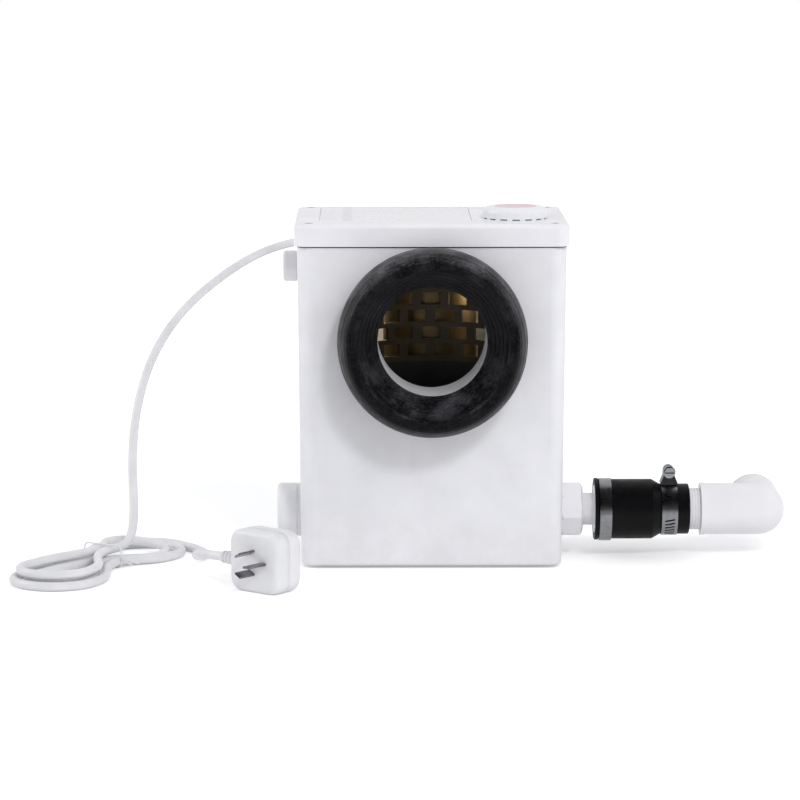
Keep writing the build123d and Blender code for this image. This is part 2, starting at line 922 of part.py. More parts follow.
def stator_core():
    outer = motor_outer - motor_wall - stator_gap
    body = tube_z(0, 0, stator_low, stator_high, outer, stator_bore)
    for step in range(stator_slots):
        spot = Rot(0, 0, 360 * step / stator_slots)
        start = stator_bore + slot_mouth
        body -= spot * block(start, start + slot_depth, -slot_width / 2, slot_width / 2,
                             stator_low - overrun, stator_high + overrun)
        body -= spot * block(stator_bore - overrun, start + slip, -slot_mouth / 2, slot_mouth / 2,
                             stator_low - overrun, stator_high + overrun)
    return Pos(0, motor_y, 0) * body


def stator_windings():
    start = stator_bore + slot_mouth + winding_inset
    end = start + slot_depth - 2 * winding_inset
    body = None
    for low, high in ((stator_low - winding_rise, stator_low - winding_inset),
                      (stator_high + winding_inset, stator_high + winding_rise)):
        ring = tube_z(0, 0, low, high, end, start)
        ring = fillet(ring.edges().filter_by(GeomType.CIRCLE), winding_inset * 4)
        body = ring if body is None else body + ring
    for step in range(stator_slots):
        spot = Rot(0, 0, 360 * step / stator_slots)
        body += spot * block(start + winding_inset, end - winding_inset, -slot_width / 2 + winding_inset,
                             slot_width / 2 - winding_inset, stator_low - winding_rise / 2,
                             stator_high + winding_rise / 2)
    return Pos(0, motor_y, 0) * body


def rotor_core():
    body = tube_z(0, 0, stator_low - rotor_margin, stator_high + rotor_margin,
                  stator_bore - rotor_gap, shaft_radius)
    bars = stator_slots + stator_slots // 2
    for step in range(bars):
        spot = Rot(0, 0, 360 * step / bars)
        body -= spot * upright(stator_bore - rotor_gap, 0,
                               stator_low + rotor_margin, stator_high - rotor_margin,
                               rotor_gap)
    return Pos(0, motor_y, 0) * body


def motor_shaft():
    body = upright(0, 0, shaft_low, shaft_high, shaft_radius)
    body = chamfer(body.edges().filter_by(GeomType.CIRCLE), shaft_radius * shaft_edge_share)
    return Pos(0, motor_y, 0) * body


# Cutter and pump

def cutter():
    hub = upright(0, 0, cutter_z, cutter_z + cutter_hub_height, cutter_hub_radius)
    hub = chamfer(hub.edges().sort_by(Axis.Z)[-1], cutter_hub_edge)
    body = hub
    for turn in (0, 180):
        blade = block(0, cutter_reach, -cutter_blade_width / 2, cutter_blade_width / 2,
                      cutter_z, cutter_z + cutter_blade_thickness)
        tip = block(cutter_reach - cutter_blade_thickness, cutter_reach, -cutter_blade_width / 2,
                    cutter_blade_width / 2, cutter_z, cutter_z + cutter_tip_height)
        tip = chamfer(tip.edges().filter_by(Axis.X).sort_by(Axis.Z)[-1], cutter_tip_length)
        body += Rot(0, 0, turn) * (blade + tip)
    body &= upright(0, 0, cutter_z, cutter_z + cutter_hub_height, cutter_reach)
    body -= upright(0, 0, cutter_z - overrun, cutter_z + cutter_hub_height + overrun, shaft_radius)
    return Pos(0, motor_y, 0) * Rot(0, 0, cutter_turn) * body


def scroll(spread, low, high):
    rear = Pos(0, motor_y, low) * Circle(volute_rear_radius + spread)
    front = Pos(0, volute_front_y, low) * Circle(volute_front_radius + spread)
    return extrude(make_hull((rear.edges() + front.edges())), high - low)


def volute():
    outer = scroll(0, volute_low, volute_high)
    outer += bar_x(0, duct_end, duct_y, duct_z, duct_outer)
    outer &= block(-tank_width, tank_width, -tank_depth, tank_depth, volute_low, volute_high)
    for angle in volute_post_angles:
        outer += Pos(0, motor_y, 0) * Rot(0, 0, angle) * upright(
            volute_post_ring, 0, volute_high - volute_wall / 2, bowl_low, volute_post_radius)
    inner = scroll(-volute_wall, volute_low - overrun, volute_high - volute_wall)
    inner += bar_x(0, duct_end + overrun, duct_y, duct_z, duct_inner)
    body = outer - inner
    body -= upright(0, motor_y, volute_low, volute_high + overrun, pump_bush_outer + slip)
    body += screw_bosses()
    for x, y in pump_screw_places():
        body -= upright(x, y, volute_low - overrun, volute_low + pump_screw_length, pump_screw_radius + slip)
    return body


def pump_screw_places():
    ring = volute_rear_radius + pump_screw_head
    places = []
    for angle in pump_screw_angles:
        turn = math.radians(angle)
        centre = motor_y if angle < 180 else volute_front_y
        places.append((ring * math.cos(turn), centre + ring * math.sin(turn)))
    return places


def screw_bosses():
    group = None
    for x, y in pump_screw_places():
        boss = upright(x, y, volute_low, volute_low + pump_screw_length + volute_wall, pump_screw_head + slip)
        group = boss if group is None else group + boss
    return group - scroll(-volute_wall / 2, volute_low - overrun, volute_high)


def pump_bush():
    body = tube_z(0, 0, volute_high - volute_wall - bearing_height / 4, volute_high + bearing_height / 4,
                  pump_bush_outer, shaft_radius + slip)
    return Pos(0, motor_y, 0) * body


def impeller():
    plate = upright(0, 0, impeller_high - impeller_plate, impeller_high, impeller_radius)
    body = plate + upright(0, 0, impeller_low, impeller_high, impeller_hub)
    for step in range(impeller_vanes):
        start = Vector(impeller_hub - impeller_vane, 0, impeller_low)
        turn = math.radians(impeller_vane_sweep)
        end = Vector(impeller_radius * math.cos(turn), -impeller_radius * math.sin(turn), impeller_low)
        mid_reach = (impeller_hub + impeller_radius) / 2
        mid = Vector(mid_reach * math.cos(turn / 3), -mid_reach * math.sin(turn / 3), impeller_low)
        body += Rot(0, 0, 360 * step / impeller_vanes) * vane_block(start, mid, end)
    body &= upright(0, 0, impeller_low, impeller_high, impeller_radius)
    body -= upright(0, 0, impeller_low - overrun, impeller_high + overrun, shaft_radius)
    return Pos(0, motor_y, 0) * body


def vane_block(start, mid, end):
    shift = Vector(0, impeller_vane, 0)
    near = ThreePointArc(start, mid, end)
    far = ThreePointArc(start + shift, mid + shift, end + shift)
    sides = Line(start, start + shift) + Line(end, end + shift)
    face = make_face(near + far + sides)
    return extrude(face, impeller_high - impeller_low, dir=(0, 0, 1))


def impeller_nut():
    low = impeller_low - impeller_nut_height
    body = extrude(Pos(0, 0, low) * RegularPolygon(impeller_nut_radius, hex_sides),
                   impeller_nut_height)
    body -= upright(0, 0, low - overrun, impeller_low + overrun, shaft_radius)
    return Pos(0, motor_y, 0) * body


def suction_plate():
    low = volute_low - suction_thickness
    body = scroll(0, low, volute_low)
    for x, y in pump_screw_places():
        body += upright(x, y, low, volute_low, pump_screw_head + slip)
    for angle in volute_post_angles:
        body += Pos(0, motor_y, 0) * Rot(0, 0, angle) * upright(
            suction_leg_ring, 0, floor_level, low + suction_thickness / 2, suction_leg_radius)
    body -= upright(0, motor_y, low - overrun, volute_low + overrun, suction_eye)
    for x, y in pump_screw_places():
        body -= upright(x, y, low - overrun, volute_low + overrun, pump_screw_radius + slip)
    return body


def pump_screws():
    group = []
    low = volute_low - suction_thickness
    for x, y in pump_screw_places():
        head = upright(x, y, low - pump_screw_head_height, low, pump_screw_head)
        shank = upright(x, y, low, low + pump_screw_length, pump_screw_radius)
        half = pump_screw_head * cross_width_share / 2
        slot = block(x - pump_screw_head - overrun, x + pump_screw_head + overrun, y - half, y + half,
                     low - pump_screw_head_height - overrun, low - pump_screw_head_height / 2)
        group.append(head + shank - slot)
    return Compound(children=group)


# Discharge valve

def valve_body():
    body = turned_x([
        (valve_inlet, duct_outer + slip),
        (valve_inlet, valve_outer),
        (valve_outlet, valve_outer),
        (valve_outlet, valve_tail_outer),
        (valve_tail, valve_tail_outer),
        (valve_tail, valve_tail_inner),
        (valve_outlet - valve_end_wall, valve_tail_inner),
        (valve_outlet - valve_end_wall, valve_inner),
        (valve_seat_x, valve_inner),
        (valve_seat_x, valve_bore),
        (valve_seat_x - valve_seat_wall, valve_bore),
        (valve_seat_x - valve_seat_wall, duct_inner),
        (duct_end + seat_gap, duct_inner),
        (duct_end + seat_gap, duct_outer + slip),
    ])
    pin = bar_y(flap_pin_x, -flap_pin_half, flap_pin_half, flap_pin_rise, flap_pin_radius + slip)
    return Pos(0, duct_y, duct_z) * (body - pin)


def valve_flap():
    disc = bar_x(valve_seat_x + seat_gap, valve_seat_x + seat_gap + flap_thickness, 0, 0, flap_radius)
    eye = bar_y(flap_pin_x, -flap_eye_half, flap_eye_half, flap_pin_rise, flap_eye_radius)
    arm = block(valve_seat_x + seat_gap, valve_seat_x + seat_gap + flap_thickness,
                -flap_eye_half, flap_eye_half,
                flap_radius / 2, flap_pin_rise)
    body = disc + arm + eye
    body -= bar_y(flap_pin_x, -flap_pin_half, flap_pin_half, flap_pin_rise, flap_pin_radius + slip)
    return Pos(0, duct_y, duct_z) * body


def flap_pin():
    return bar_y(flap_pin_x, duct_y - flap_pin_half, duct_y + flap_pin_half, duct_z + flap_pin_rise,
                 flap_pin_radius)


# Side cap, upper plug

def side_inlet_cap():
    wall_x = -half_width(duct_z)
    start = wall_x - seat_gap
    bore_end = wall_x - stub_reach
    body = turned_x([
        (start, stub_outer + slip),
        (start, side_cap_outer),
        (start - side_cap_rim, side_cap_outer),
        (start - side_cap_rim, side_cap_outer - side_cap_rim_step),
        (start - side_cap_rim - side_cap_rim_step, side_cap_outer - side_cap_rim_step),
        (start - side_cap_rim - side_cap_rim_step, side_cap_outer),
        (side_cap_end + side_cap_edge, side_cap_outer),
        (side_cap_end + side_cap_edge / 3, side_cap_outer - side_cap_edge / 3),
        (side_cap_end, side_cap_outer - side_cap_edge),
        (side_cap_end, 0),
        (bore_end, 0),
        (bore_end, stub_outer + slip),
    ])
    return Pos(0, duct_y, duct_z) * body


def upper_side_plug():
    seat = -half_width(upper_plug_z) - pad_height
    end = seat - upper_plug_reach + pad_height
    body = turned_x([
        (seat, 0),
        (seat, upper_plug_radius),
        (end + upper_plug_edge, upper_plug_radius),
        (end + upper_plug_edge / 3, upper_plug_radius - upper_plug_edge / 3),
        (end, upper_plug_radius - upper_plug_edge),
        (end, 0),
    ])
    spigot = bar_x(seat - overrun, seat + upper_plug_depth, 0, 0, upper_plug_spigot)
    hollow = bar_x(seat, seat + upper_plug_depth + overrun, 0, 0, upper_plug_spigot - vent_wall)
    return Pos(0, duct_y, upper_plug_z) * (body + spigot - hollow)


# Discharge run

stub_end = half_width(duct_z) + stub_reach
flange_start = stub_end + seat_gap
flange_end = flange_start + tail_flange_thickness


def discharge_tail():
    body = turned_x([
        (flange_start, valve_tail_inner),
        (flange_start, stub_outer - slip),
        (flange_end, stub_outer - slip),
        (flange_end, tail_neck),
        (sleeve_start, tail_neck),
        (sleeve_start, sleeve_large_bore - loose_gap),
        (sleeve_start + loose_gap, sleeve_large_bore),
        (tail_spigot_end - sleeve_lip, sleeve_large_bore),
        (tail_spigot_end, sleeve_large_bore - sleeve_lip / 2),
        (tail_spigot_end, tail_bore),
        (flange_end, tail_bore),
    ])
    return Pos(0, duct_y, duct_z) * body


def discharge_nut():
    low = half_width(duct_z) + loose_gap
    body = extrude(Plane.YZ.offset(low) * Rot(0, 0, nut_turn) * RegularPolygon(nut_corner, nut_sides),
                   nut_outer_x - low)
    cone = turned_x([
        (low - overrun, 0),
        (low - overrun, nut_corner - nut_chamfer),
        (low, nut_corner - nut_chamfer),
        (low + nut_chamfer, nut_corner),
        (nut_outer_x - nut_chamfer, nut_corner),
        (nut_outer_x, nut_corner - 2 * nut_chamfer),
        (nut_outer_x, 0),
    ])
    body &= cone
    body -= bar_x(low - overrun, flange_end + slip, 0, 0, stub_outer + slip)
    body -= bar_x(low, nut_outer_x + overrun, 0, 0, tail_neck + slip)
    return Pos(0, duct_y, duct_z) * body


def rubber_sleeve():
    body = turned_x([
        (sleeve_start + loose_gap, sleeve_large_bore + slip),
        (sleeve_start, sleeve_large_bore + loose_gap),
        (sleeve_start, sleeve_lip_radius - loose_gap / 2),
        (sleeve_start + loose_gap, sleeve_lip_radius),
        (sleeve_start + sleeve_lip - loose_gap, sleeve_lip_radius),
        (sleeve_start + sleeve_lip, sleeve_large),
        (sleeve_taper_start, sleeve_large),
        (sleeve_taper_end, sleeve_small),
        (sleeve_end - loose_gap, sleeve_small),
        (sleeve_end, sleeve_small - loose_gap),
        (sleeve_end, pipe_outer + slip),
        (sleeve_step_x + sleeve_lip, pipe_outer + slip),
        (sleeve_step_x, sleeve_large_bore + slip),
    ])
    return Pos(0, duct_y, duct_z) * body


def small_band():
    low = small_band_start
    high = low + small_band_width
    inner = sleeve_large + slip
    body = tube_x(low, high, 0, 0, inner + small_band_thickness, inner)
    lap = tube_x(low, high, 0, 0, inner + 2 * small_band_thickness, inner + small_band_thickness / 2)
    reach = inner + 2 * small_band_thickness + overrun
    wedge = flat_x([(0, 0), (-reach, 0), (-reach, -reach), (0, -reach)], low, high)
    body += lap & wedge
    return Pos(0, duct_y, duct_z) * body


def flat_x(points, low, high):
    face = make_face(Polyline(*[(low, y, z) for y, z in points], close=True))
    return extrude(face, high - low, dir=(1, 0, 0))


worm_y = duct_y
worm_z = duct_z + sleeve_small + slip + worm_band_thickness + worm_lift
worm_x = worm_band_start + worm_band_width / 2


def worm_band():
    low = worm_band_start
    high = low + worm_band_width
    inner = sleeve_small + slip
    outer = inner + worm_band_thickness
    body = tube_x(low, high, 0, 0, outer, inner)
    first = -worm_slot_pitch * (worm_slots - 1) / 2
    for step in range(worm_slots):
        angle = math.degrees((first + worm_slot_pitch * step) / outer) + worm_slot_middle
        spot = Rot(angle, 0, 0) * Pos(middle(low, high), outer, 0) * Rot(0, worm_slot_tilt, 0)
        body -= spot * Box(worm_slot_length, 4 * worm_band_thickness, worm_slot_width)
    return Pos(0, duct_y, duct_z) * body


def worm_housing():
    base = duct_z + sleeve_small + slip
    half = housing_width / 2
    foot = housing_length / 2
    arch = worm_radius + slip + housing_wall
    skirt = base + worm_band_thickness + housing_wall
    outline = Polyline(
        (-foot, base), (foot, base), (foot, skirt), (arch, worm_z - worm_radius), (arch, worm_z),
        (-arch, worm_z), (-arch, worm_z - worm_radius), (-foot, skirt), close=True,
    )
    body = extrude(Pos(worm_x, worm_y + half, 0) * Rot(90, 0, 0) * make_face(outline), housing_width)
    body += bar_y(worm_x, worm_y - half, worm_y + half, worm_z, arch)
    body -= bar_x(worm_x - foot - overrun, worm_x + foot + overrun, duct_y, duct_z,
                  sleeve_small + slip + worm_band_thickness)
    pocket = worm_radius + slip
    body -= bar_y(worm_x, worm_y - housing_width, worm_y + housing_width, worm_z, pocket)
    body -= block(worm_x - pocket, worm_x + pocket, worm_y - half + housing_wall, worm_y + half - housing_wall,
                  base, worm_z)
    return body


def worm_screw():
    front = worm_y - housing_width / 2
    shank = bar_y(worm_x, front, front + worm_length, worm_z, worm_core)
    body = shank
    turns = int((housing_width - 2 * housing_wall) / worm_pitch)
    for step in range(turns):
        start = front + housing_wall + worm_pitch * step
        ridge = bar_y(worm_x, start, start + worm_pitch / 2, worm_z, worm_radius)
        body += ridge
    head = extrude(Pos(worm_x, front - worm_head_length, worm_z) * Rot(90, 0, 0) *
                   RegularPolygon(worm_head_radius, hex_sides), -worm_head_length)
    body += head
    body += bar_y(worm_x, front - slip - housing_wall, front - slip, worm_z,
                  worm_head_radius + housing_wall / 2)
    body -= block(worm_x - worm_head_radius - overrun, worm_x + worm_head_radius + overrun,
                  front - worm_head_length - overrun, front - worm_head_length / 2,
                  worm_z - worm_slot / 2, worm_z + worm_slot / 2)
    return body


def discharge_pipe():
    body = tube_x(pipe_start, elbow_start + elbow_socket_depth - seat_gap, 0, 0, pipe_outer, pipe_inner)
    for step in range(pipe_rings):
        low = pipe_ring_start + (pipe_ring_width + pipe_ring_gap) * step
        body += tube_x(low, low + pipe_ring_width, 0, 0, pipe_ring, pipe_outer - pipe_ring_gap)
    return Pos(0, duct_y, duct_z) * body


def discharge_elbow():
    x = elbow_centre_x
    body = bar_x(elbow_start, x, 0, 0, elbow_outer) + bar_y(x, 0, elbow_leg, 0, elbow_outer)
    body += Pos(x, 0, 0) * Sphere(elbow_outer)
    body += bar_x(elbow_start, elbow_start + elbow_rim_width, 0, 0, elbow_outer + elbow_rim)
    body += bar_y(x, elbow_leg - elbow_rim_width, elbow_leg, 0, elbow_outer + elbow_rim)
    body -= bar_x(elbow_start - overrun, elbow_start + elbow_socket_depth, 0, 0, elbow_socket)
    body -= bar_y(x, elbow_leg - elbow_socket_depth, elbow_leg + overrun, 0, elbow_socket)
    body -= bar_x(elbow_start, x, 0, 0, elbow_bore)
    body -= bar_y(x, 0, elbow_leg, 0, elbow_bore)
    body -= Pos(x, 0, 0) * Sphere(elbow_bore)
    return Pos(0, duct_y, duct_z) * body


# Level switch

def pressure_chamber():
    body = turned_z([
        (dip_low, dip_inner),
        (dip_low, dip_outer),
        (chamber_low, dip_outer),
        (chamber_low + chamber_wall, chamber_radius),
        (chamber_split, chamber_radius),
        (chamber_split, diaphragm_radius - chamber_wall),
        (chamber_split - chamber_wall, diaphragm_radius - chamber_wall),
        (chamber_low + 2 * chamber_wall, dip_inner),
    ])
    return Pos(switch_x, switch_y, 0) * body


def chamber_cap():
    roof = chamber_high - chamber_wall
    body = turned_z([
        (chamber_split, diaphragm_radius + seat_gap),
        (chamber_split, chamber_radius),
        (chamber_high, chamber_radius),
        (chamber_high, plunger_radius + slip),
        (roof, plunger_radius + slip),
        (roof, diaphragm_radius + seat_gap),
    ])
    return Pos(switch_x, switch_y, 0) * body


def diaphragm():
    low = chamber_split + seat_gap
    body = upright(switch_x, switch_y, low, low + diaphragm_thickness, diaphragm_radius)
    body += upright(switch_x, switch_y, low, low + diaphragm_hub_height, diaphragm_hub)
    plunger = upright(switch_x, switch_y, low, chamber_high + plunger_rise, plunger_radius)
    return body + fillet(plunger.edges().sort_by(Axis.Z)[-1], plunger_radius / 2)


lever_level = chamber_high + plunger_rise + seat_gap
pivot_z = lever_level + lever_eye


def switch_body():
    x_low = switch_x - switch_body_length / 2
    y_low = switch_y + plunger_radius + loose_gap
    body = block(x_low, x_low + switch_body_length, y_low, y_low + switch_body_width,
                 chamber_high, chamber_high + switch_body_height)
    body = fillet(body.edges().filter_by(Axis.Z), switch_foot / 3)
    for y in (switch_y - lever_pin_half + lever_fork_wall / 2, switch_y + lever_pin_half - lever_fork_wall / 2):
        body += block(lever_pivot_x - lever_eye, lever_pivot_x + lever_eye, y - lever_fork_wall / 2,
                      y + lever_fork_wall / 2, chamber_high, pivot_z + lever_eye)
    body += block(lever_pivot_x - lever_eye, lever_pivot_x + lever_eye, switch_y - lever_pin_half,
                  y_low + overrun, chamber_high, chamber_high + lever_thickness)
    body -= bar_y(lever_pivot_x, switch_y - lever_pin_half - overrun, switch_y + lever_pin_half, pivot_z,
                  lever_pin_radius + slip)
    return body


def lever_pin():
    return bar_y(lever_pivot_x, switch_y - lever_pin_half, switch_y + lever_pin_half, pivot_z, lever_pin_radius)


def switch_lever():
    half = lever_pin_half - lever_fork_wall - seat_gap
    arm = block(lever_pivot_x - lever_length, lever_pivot_x, switch_y - half, switch_y + half,
                lever_level, lever_level + lever_thickness)
    eye = bar_y(lever_pivot_x, switch_y - half, switch_y + half, pivot_z, lever_eye)
    body = arm + eye
    body -= bar_y(lever_pivot_x, switch_y - half - overrun, switch_y + half + overrun, pivot_z,
                  lever_pin_radius + slip)
    return body


# Electrical pieces

def capacitor():
    top = platform_high + capacitor_height
    body = upright(capacitor_x, capacitor_y, platform_high, top, capacitor_radius)
    body = fillet(body.edges().filter_by(GeomType.CIRCLE), capacitor_edge)
    for side in (-1, 1):
        x = capacitor_x + side * capacitor_radius / 3
        body += block(x - capacitor_edge, x + capacitor_edge, capacitor_y - capacitor_blade_thickness / 2,
                      capacitor_y + capacitor_blade_thickness / 2, top - capacitor_edge,
                      top + capacitor_blade_height)
    return body


def terminal_places():
    pitch = terminal_length / terminal_poles
    x_low = terminal_x - terminal_length / 2
    return [x_low + pitch * (pole + 1) - pitch / 2 for pole in range(terminal_poles)]


def terminal_block():
    x_low = terminal_x - terminal_length / 2
    y_low = terminal_y - terminal_width / 2
    top = platform_high + terminal_height
    half_way = platform_high + terminal_height / 2
    body = block(x_low, x_low + terminal_length, y_low, y_low + terminal_width, platform_high, top)
    body = fillet(body.edges().filter_by(Axis.Z), terminal_slot / 3)
    for x in terminal_places():
        body -= upright(x, terminal_y, half_way, top + overrun, wire_radius + slip)
        body -= bar_y(x, y_low - overrun, y_low + terminal_slot, half_way, wire_radius + slip)
    for gap in range(1, terminal_poles):
        x = x_low + terminal_length / terminal_poles * gap
        body -= block(x - terminal_slot / 4, x + terminal_slot / 4, y_low - overrun,
                      y_low + terminal_width + overrun, top - terminal_slot, top + overrun)
    return body


def wires():
    poles = terminal_places()
    bottom = platform_high + terminal_height / 2
    high = platform_high + terminal_height + wire_rise
    front = terminal_y - terminal_width / 2 + terminal_slot
    out = front - terminal_width / 2
    start_x, start_y, start_z = inner_lead_end
    group = []
    for pole, angle in zip(poles, wire_angles):
        turn = math.radians(angle)
        x = start_x + wire_ring * math.cos(turn)
        y = start_y + wire_ring * math.sin(turn)
        group.append([(x, y, start_z), (x, y, start_z - wire_rise), (pole, terminal_y, high),
                      (pole, terminal_y, bottom)])
    motor_side = -motor_outer - slip
    group.append([(poles[2], front, bottom), (poles[2], out, bottom)] + motor_wire_route +
                 [(motor_side, motor_y, motor_wire_route[-1][2])])
    group.append([(poles[3], front, bottom), (poles[3], out, bottom)] + capacitor_wire_route +
                 [(capacitor_x - capacitor_radius / 3, capacitor_y, capacitor_wire_route[-1][2]),
                  (capacitor_x - capacitor_radius / 3, capacitor_y,
                   platform_high + capacitor_height + capacitor_blade_height)])
    back = switch_y + plunger_radius + loose_gap + switch_body_width
    last = switch_wire_route[-1]
    group.append([(poles[1], front, bottom), (poles[1], out, bottom)] + switch_wire_route +
                 [(last[0], back, last[2])])
    return Compound(children=[routed(points, wire_radius, "wire") for points in group])


# Round tubes along routes

def corner_radii(points):
    radii = []
    for before, here, after in zip(points, points[1:], points[2:]):
        first = Vector(*here) - Vector(*before)
        second = Vector(*after) - Vector(*here)
        turn = math.radians(first.get_angle(second))
        radii.append(bend_share * min(first.length, second.length) / math.tan(turn / 2))
    return radii


def routed(points, radius, name):
    radii = corner_radii(points)
    line = FilletPolyline(*points, radius=radii)
    start = Vector(*points[1]) - Vector(*points[0])
    body = sweep(Plane(origin=points[0], z_dir=start) * Circle(radius), line)
    expected = math.pi * radius ** 2 * line.length
    print(name, "length", round(line.length, 1), "radii", [round(value, 1) for value in radii],
          "volume share", round(body.volume / expected, 4))
    return body


def cord_drop():
    stations = hank_stations()
    end = Vector(*hank_point(*stations[0][0]))
    before = end - world_direction(stations[0][1]) * lead_end_run
    return routed(cord_route + [tuple(before), tuple(end)], cord_radius, "cord_drop")


def cord_lead():
    return routed(lead_route(), cord_radius, "cord_lead")


def hank_point(along, across, z):
    turn = math.radians(hank_turn)
    x = hank_x + along * math.cos(turn) + across * math.sin(turn)
    y = hank_y + along * math.sin(turn) - across * math.cos(turn)
    return (x, y, z)


def hank_stations():
    low = hank_floor
    waist_low = hank_floor + tie_lift
    waist_high = waist_low + hank_pitch
    high = hank_floor + hank_pitch
    side = hank_pitch / 2
    outer = 3 * side + hank_spread
    stations = [
        ((hank_start, side, waist_high), (-1, 0)),
        ((hank_start - 2 * cord_radius + loose_gap, side, waist_high), (-1, 0)),
    ]
    for loop, (wide, tip) in enumerate(hank_left_loops):
        top = loop == 0
        across = outer if loop == 2 else side
        waist = waist_high if top else waist_low
        level = high if top else low
        if loop > 0:
            stations.append(((0, across, waist), (-1, 0)))
        stations.append(((-tip + wide, wide, level), (-1, 0)))
        stations.append(((-tip, 0, level), (0, -1)))
        stations.append(((-tip + wide, -wide, level), (1, 0)))
        stations.append(((0, -across, waist), (1, 0)))
        if loop < 2:
            wide, tip = hank_right_loops[loop]
            stations.append(((tip - wide, -wide, level), (1, 0)))
            stations.append(((tip, 0, low), (0, 1)))
            stations.append(((tip - wide, wide, low), (-1, 0)))
        if loop == 1:
            stations.append(((hank_neck, wide, low), (-1, 0)))
    wide, tip = hank_right_loops[-1]
    reach = wide + hank_pitch + loose_gap
    centre = tip - wide
    turn = math.radians(hank_exit_turn)
    leave = (centre + reach * math.cos(turn), reach * math.sin(turn))
    heading = (-math.sin(turn), math.cos(turn))
    stations.append(((hank_neck, -reach, low), (1, 0)))
    stations.append(((centre, -reach, low), (1, 0)))
    stations.append(((centre + reach, 0, low), (0, 1)))
    stations.append(((leave[0], leave[1], low), heading))
    straight = 2 * cord_radius + loose_gap
    stations.append(((leave[0] + heading[0] * straight, leave[1] + heading[1] * straight, low), heading))
    return stations


def world_direction(heading):
    turn = math.radians(hank_turn)
    along, across = heading
    return Vector(along * math.cos(turn) + across * math.sin(turn),
                  along * math.sin(turn) - across * math.cos(turn), 0)


def biarc(start, start_way, end, end_way):
    gap = end - start
    cross = gap.dot(start_way + end_way)
    spread = 2 * (1 - start_way.dot(end_way))
    if abs(spread) < tiny:
        reach = gap.length ** 2 / (4 * gap.dot(end_way))
    else:
        root = math.sqrt(cross ** 2 + spread * gap.length ** 2)
        reach = (-cross + root) / spread
    first_corner = start + start_way * reach
    second_corner = end - end_way * reach
    joint = (first_corner + second_corner) / 2
    return [arc_or_line(start, start_way, joint), arc_or_line(end, end_way, joint, True)]


def arc_or_line(here, way, there, backwards=False):
    gap = (there - here).normalized()
    if abs(abs(gap.dot(way)) - 1) < tiny:
        return Line(there, here) if backwards else Line(here, there)
    if not backwards:
        return TangentArc(here, there, tangent=way)
    arc = TangentArc(here, there, tangent=way * -1)
    return ThreePointArc(arc @ 1, arc @ (1 / 2), arc @ 0)


def cord_hank():
    stations = hank_stations()
    edges = []
    for (here, way), (there, next_way) in zip(stations, stations[1:]):
        start = Vector(*hank_point(*here))
        end = Vector(*hank_point(*there))
        edges += biarc(start, world_direction(way), end, world_direction(next_way))
    line = Wire([edge.edge() if hasattr(edge, "edge") else edge for edge in edges])
    first = stations[0]
    origin = Vector(*hank_point(*first[0]))
    body = sweep(Plane(origin=origin, z_dir=world_direction(first[1])) * Circle(cord_radius), line)
    expected = math.pi * cord_radius ** 2 * line.length
    print("cord_hank length", round(line.length, 1), "volume share", round(body.volume / expected, 4),
          "least gap to itself", round(self_gap(line), 2))
    return body


def self_gap(line):
    count = int(line.length / cord_radius)
    spots = [line @ (step / count) for step in range(count + 1)]
    step_length = line.length / count
    skip = int(neighbour_radii * cord_radius / step_length) + 1
    least = line.length
    for index, spot in enumerate(spots):
        for other in spots[index + skip:]:
            least = min(least, (spot - other).length)
    return least - 2 * cord_radius


def plug_place(across, deep, z):
    turn = math.radians(plug_turn)
    x = plug_x + across * math.cos(turn) - deep * math.sin(turn)
    y = plug_y - across * math.sin(turn) - deep * math.cos(turn)
    return (x, y, z)


def hank_end():
    return hank_point(*hank_stations()[-1][0])


def lead_route():
    start = Vector(*hank_end())
    way = world_direction(hank_stations()[-1][1])
    tip = Vector(*plug_place(-plug_width / 2 - relief_length, 0, plug_entry))
    near = Vector(*plug_place(-plug_width / 2 - relief_length - plug_end_run, 0, plug_entry))
    return [tuple(start), tuple(start + way * lead_end_run)] + lead_middle + [tuple(near), tuple(tip)]


def cord_tie():
    waist = [
        (0, -tie_half_width, tie_low), (0, tie_half_width, tie_low),
        (0, tie_half_width, tie_high), (0, -tie_half_width, tie_high),
    ]
    points = [hank_point(*spot) for spot in waist]
    line = FilletPolyline(*points, radius=tie_corner, close=True)
    start = line @ 0
    body = sweep(Plane(origin=start, z_dir=line % 0) * Circle(tie_radius), line)
    for side in (-1, 1):
        spot = hank_point(side * tie_radius, tie_half_width, tie_high / 2)
        end = hank_point(side * tie_tail / 3, tie_half_width + tie_tail, tie_high / 4)
        body += rod_between(spot, end, tie_radius)
    return body


def rod_between(start, end, radius):
    gap = Vector(*end) - Vector(*start)
    return extrude(Plane(origin=start, z_dir=gap) * Circle(radius), gap.length)


def cord_gland():
    seat = half_depth(gland_z) + pad_height
    inside = half_depth(gland_z) - tank_wall - gland_inner_reach
    start = seat + gland_flange_thickness
    outline = [
        (inside, 0),
        (inside, gland_hole - slip),
        (seat, gland_hole - slip),
        (seat, gland_flange),
        (start, gland_flange),
        (start, gland_taper_root),
    ]
    for step in range(gland_ribs):
        share = (step + 1 / 2) / gland_ribs
        along = start + (gland_tip - start - gland_groove) * share
        out = gland_taper_root + (gland_taper_tip - gland_taper_root) * share
        outline.append((along, out))
        outline.append((along, out - gland_groove_depth))
        outline.append((along + gland_groove, out - gland_groove_depth))
        outline.append((along + gland_groove, out))
    outline += [(gland_tip, gland_taper_tip), (gland_tip, 0)]
    return Pos(gland_x, 0, gland_z) * turned_y(outline)


def inner_lead():
    inside = half_depth(gland_z) - tank_wall - gland_inner_reach
    points = [(gland_x, inside, gland_z)] + inner_lead_route + [inner_lead_end]
    return routed(points, inner_lead_radius, "inner_lead")


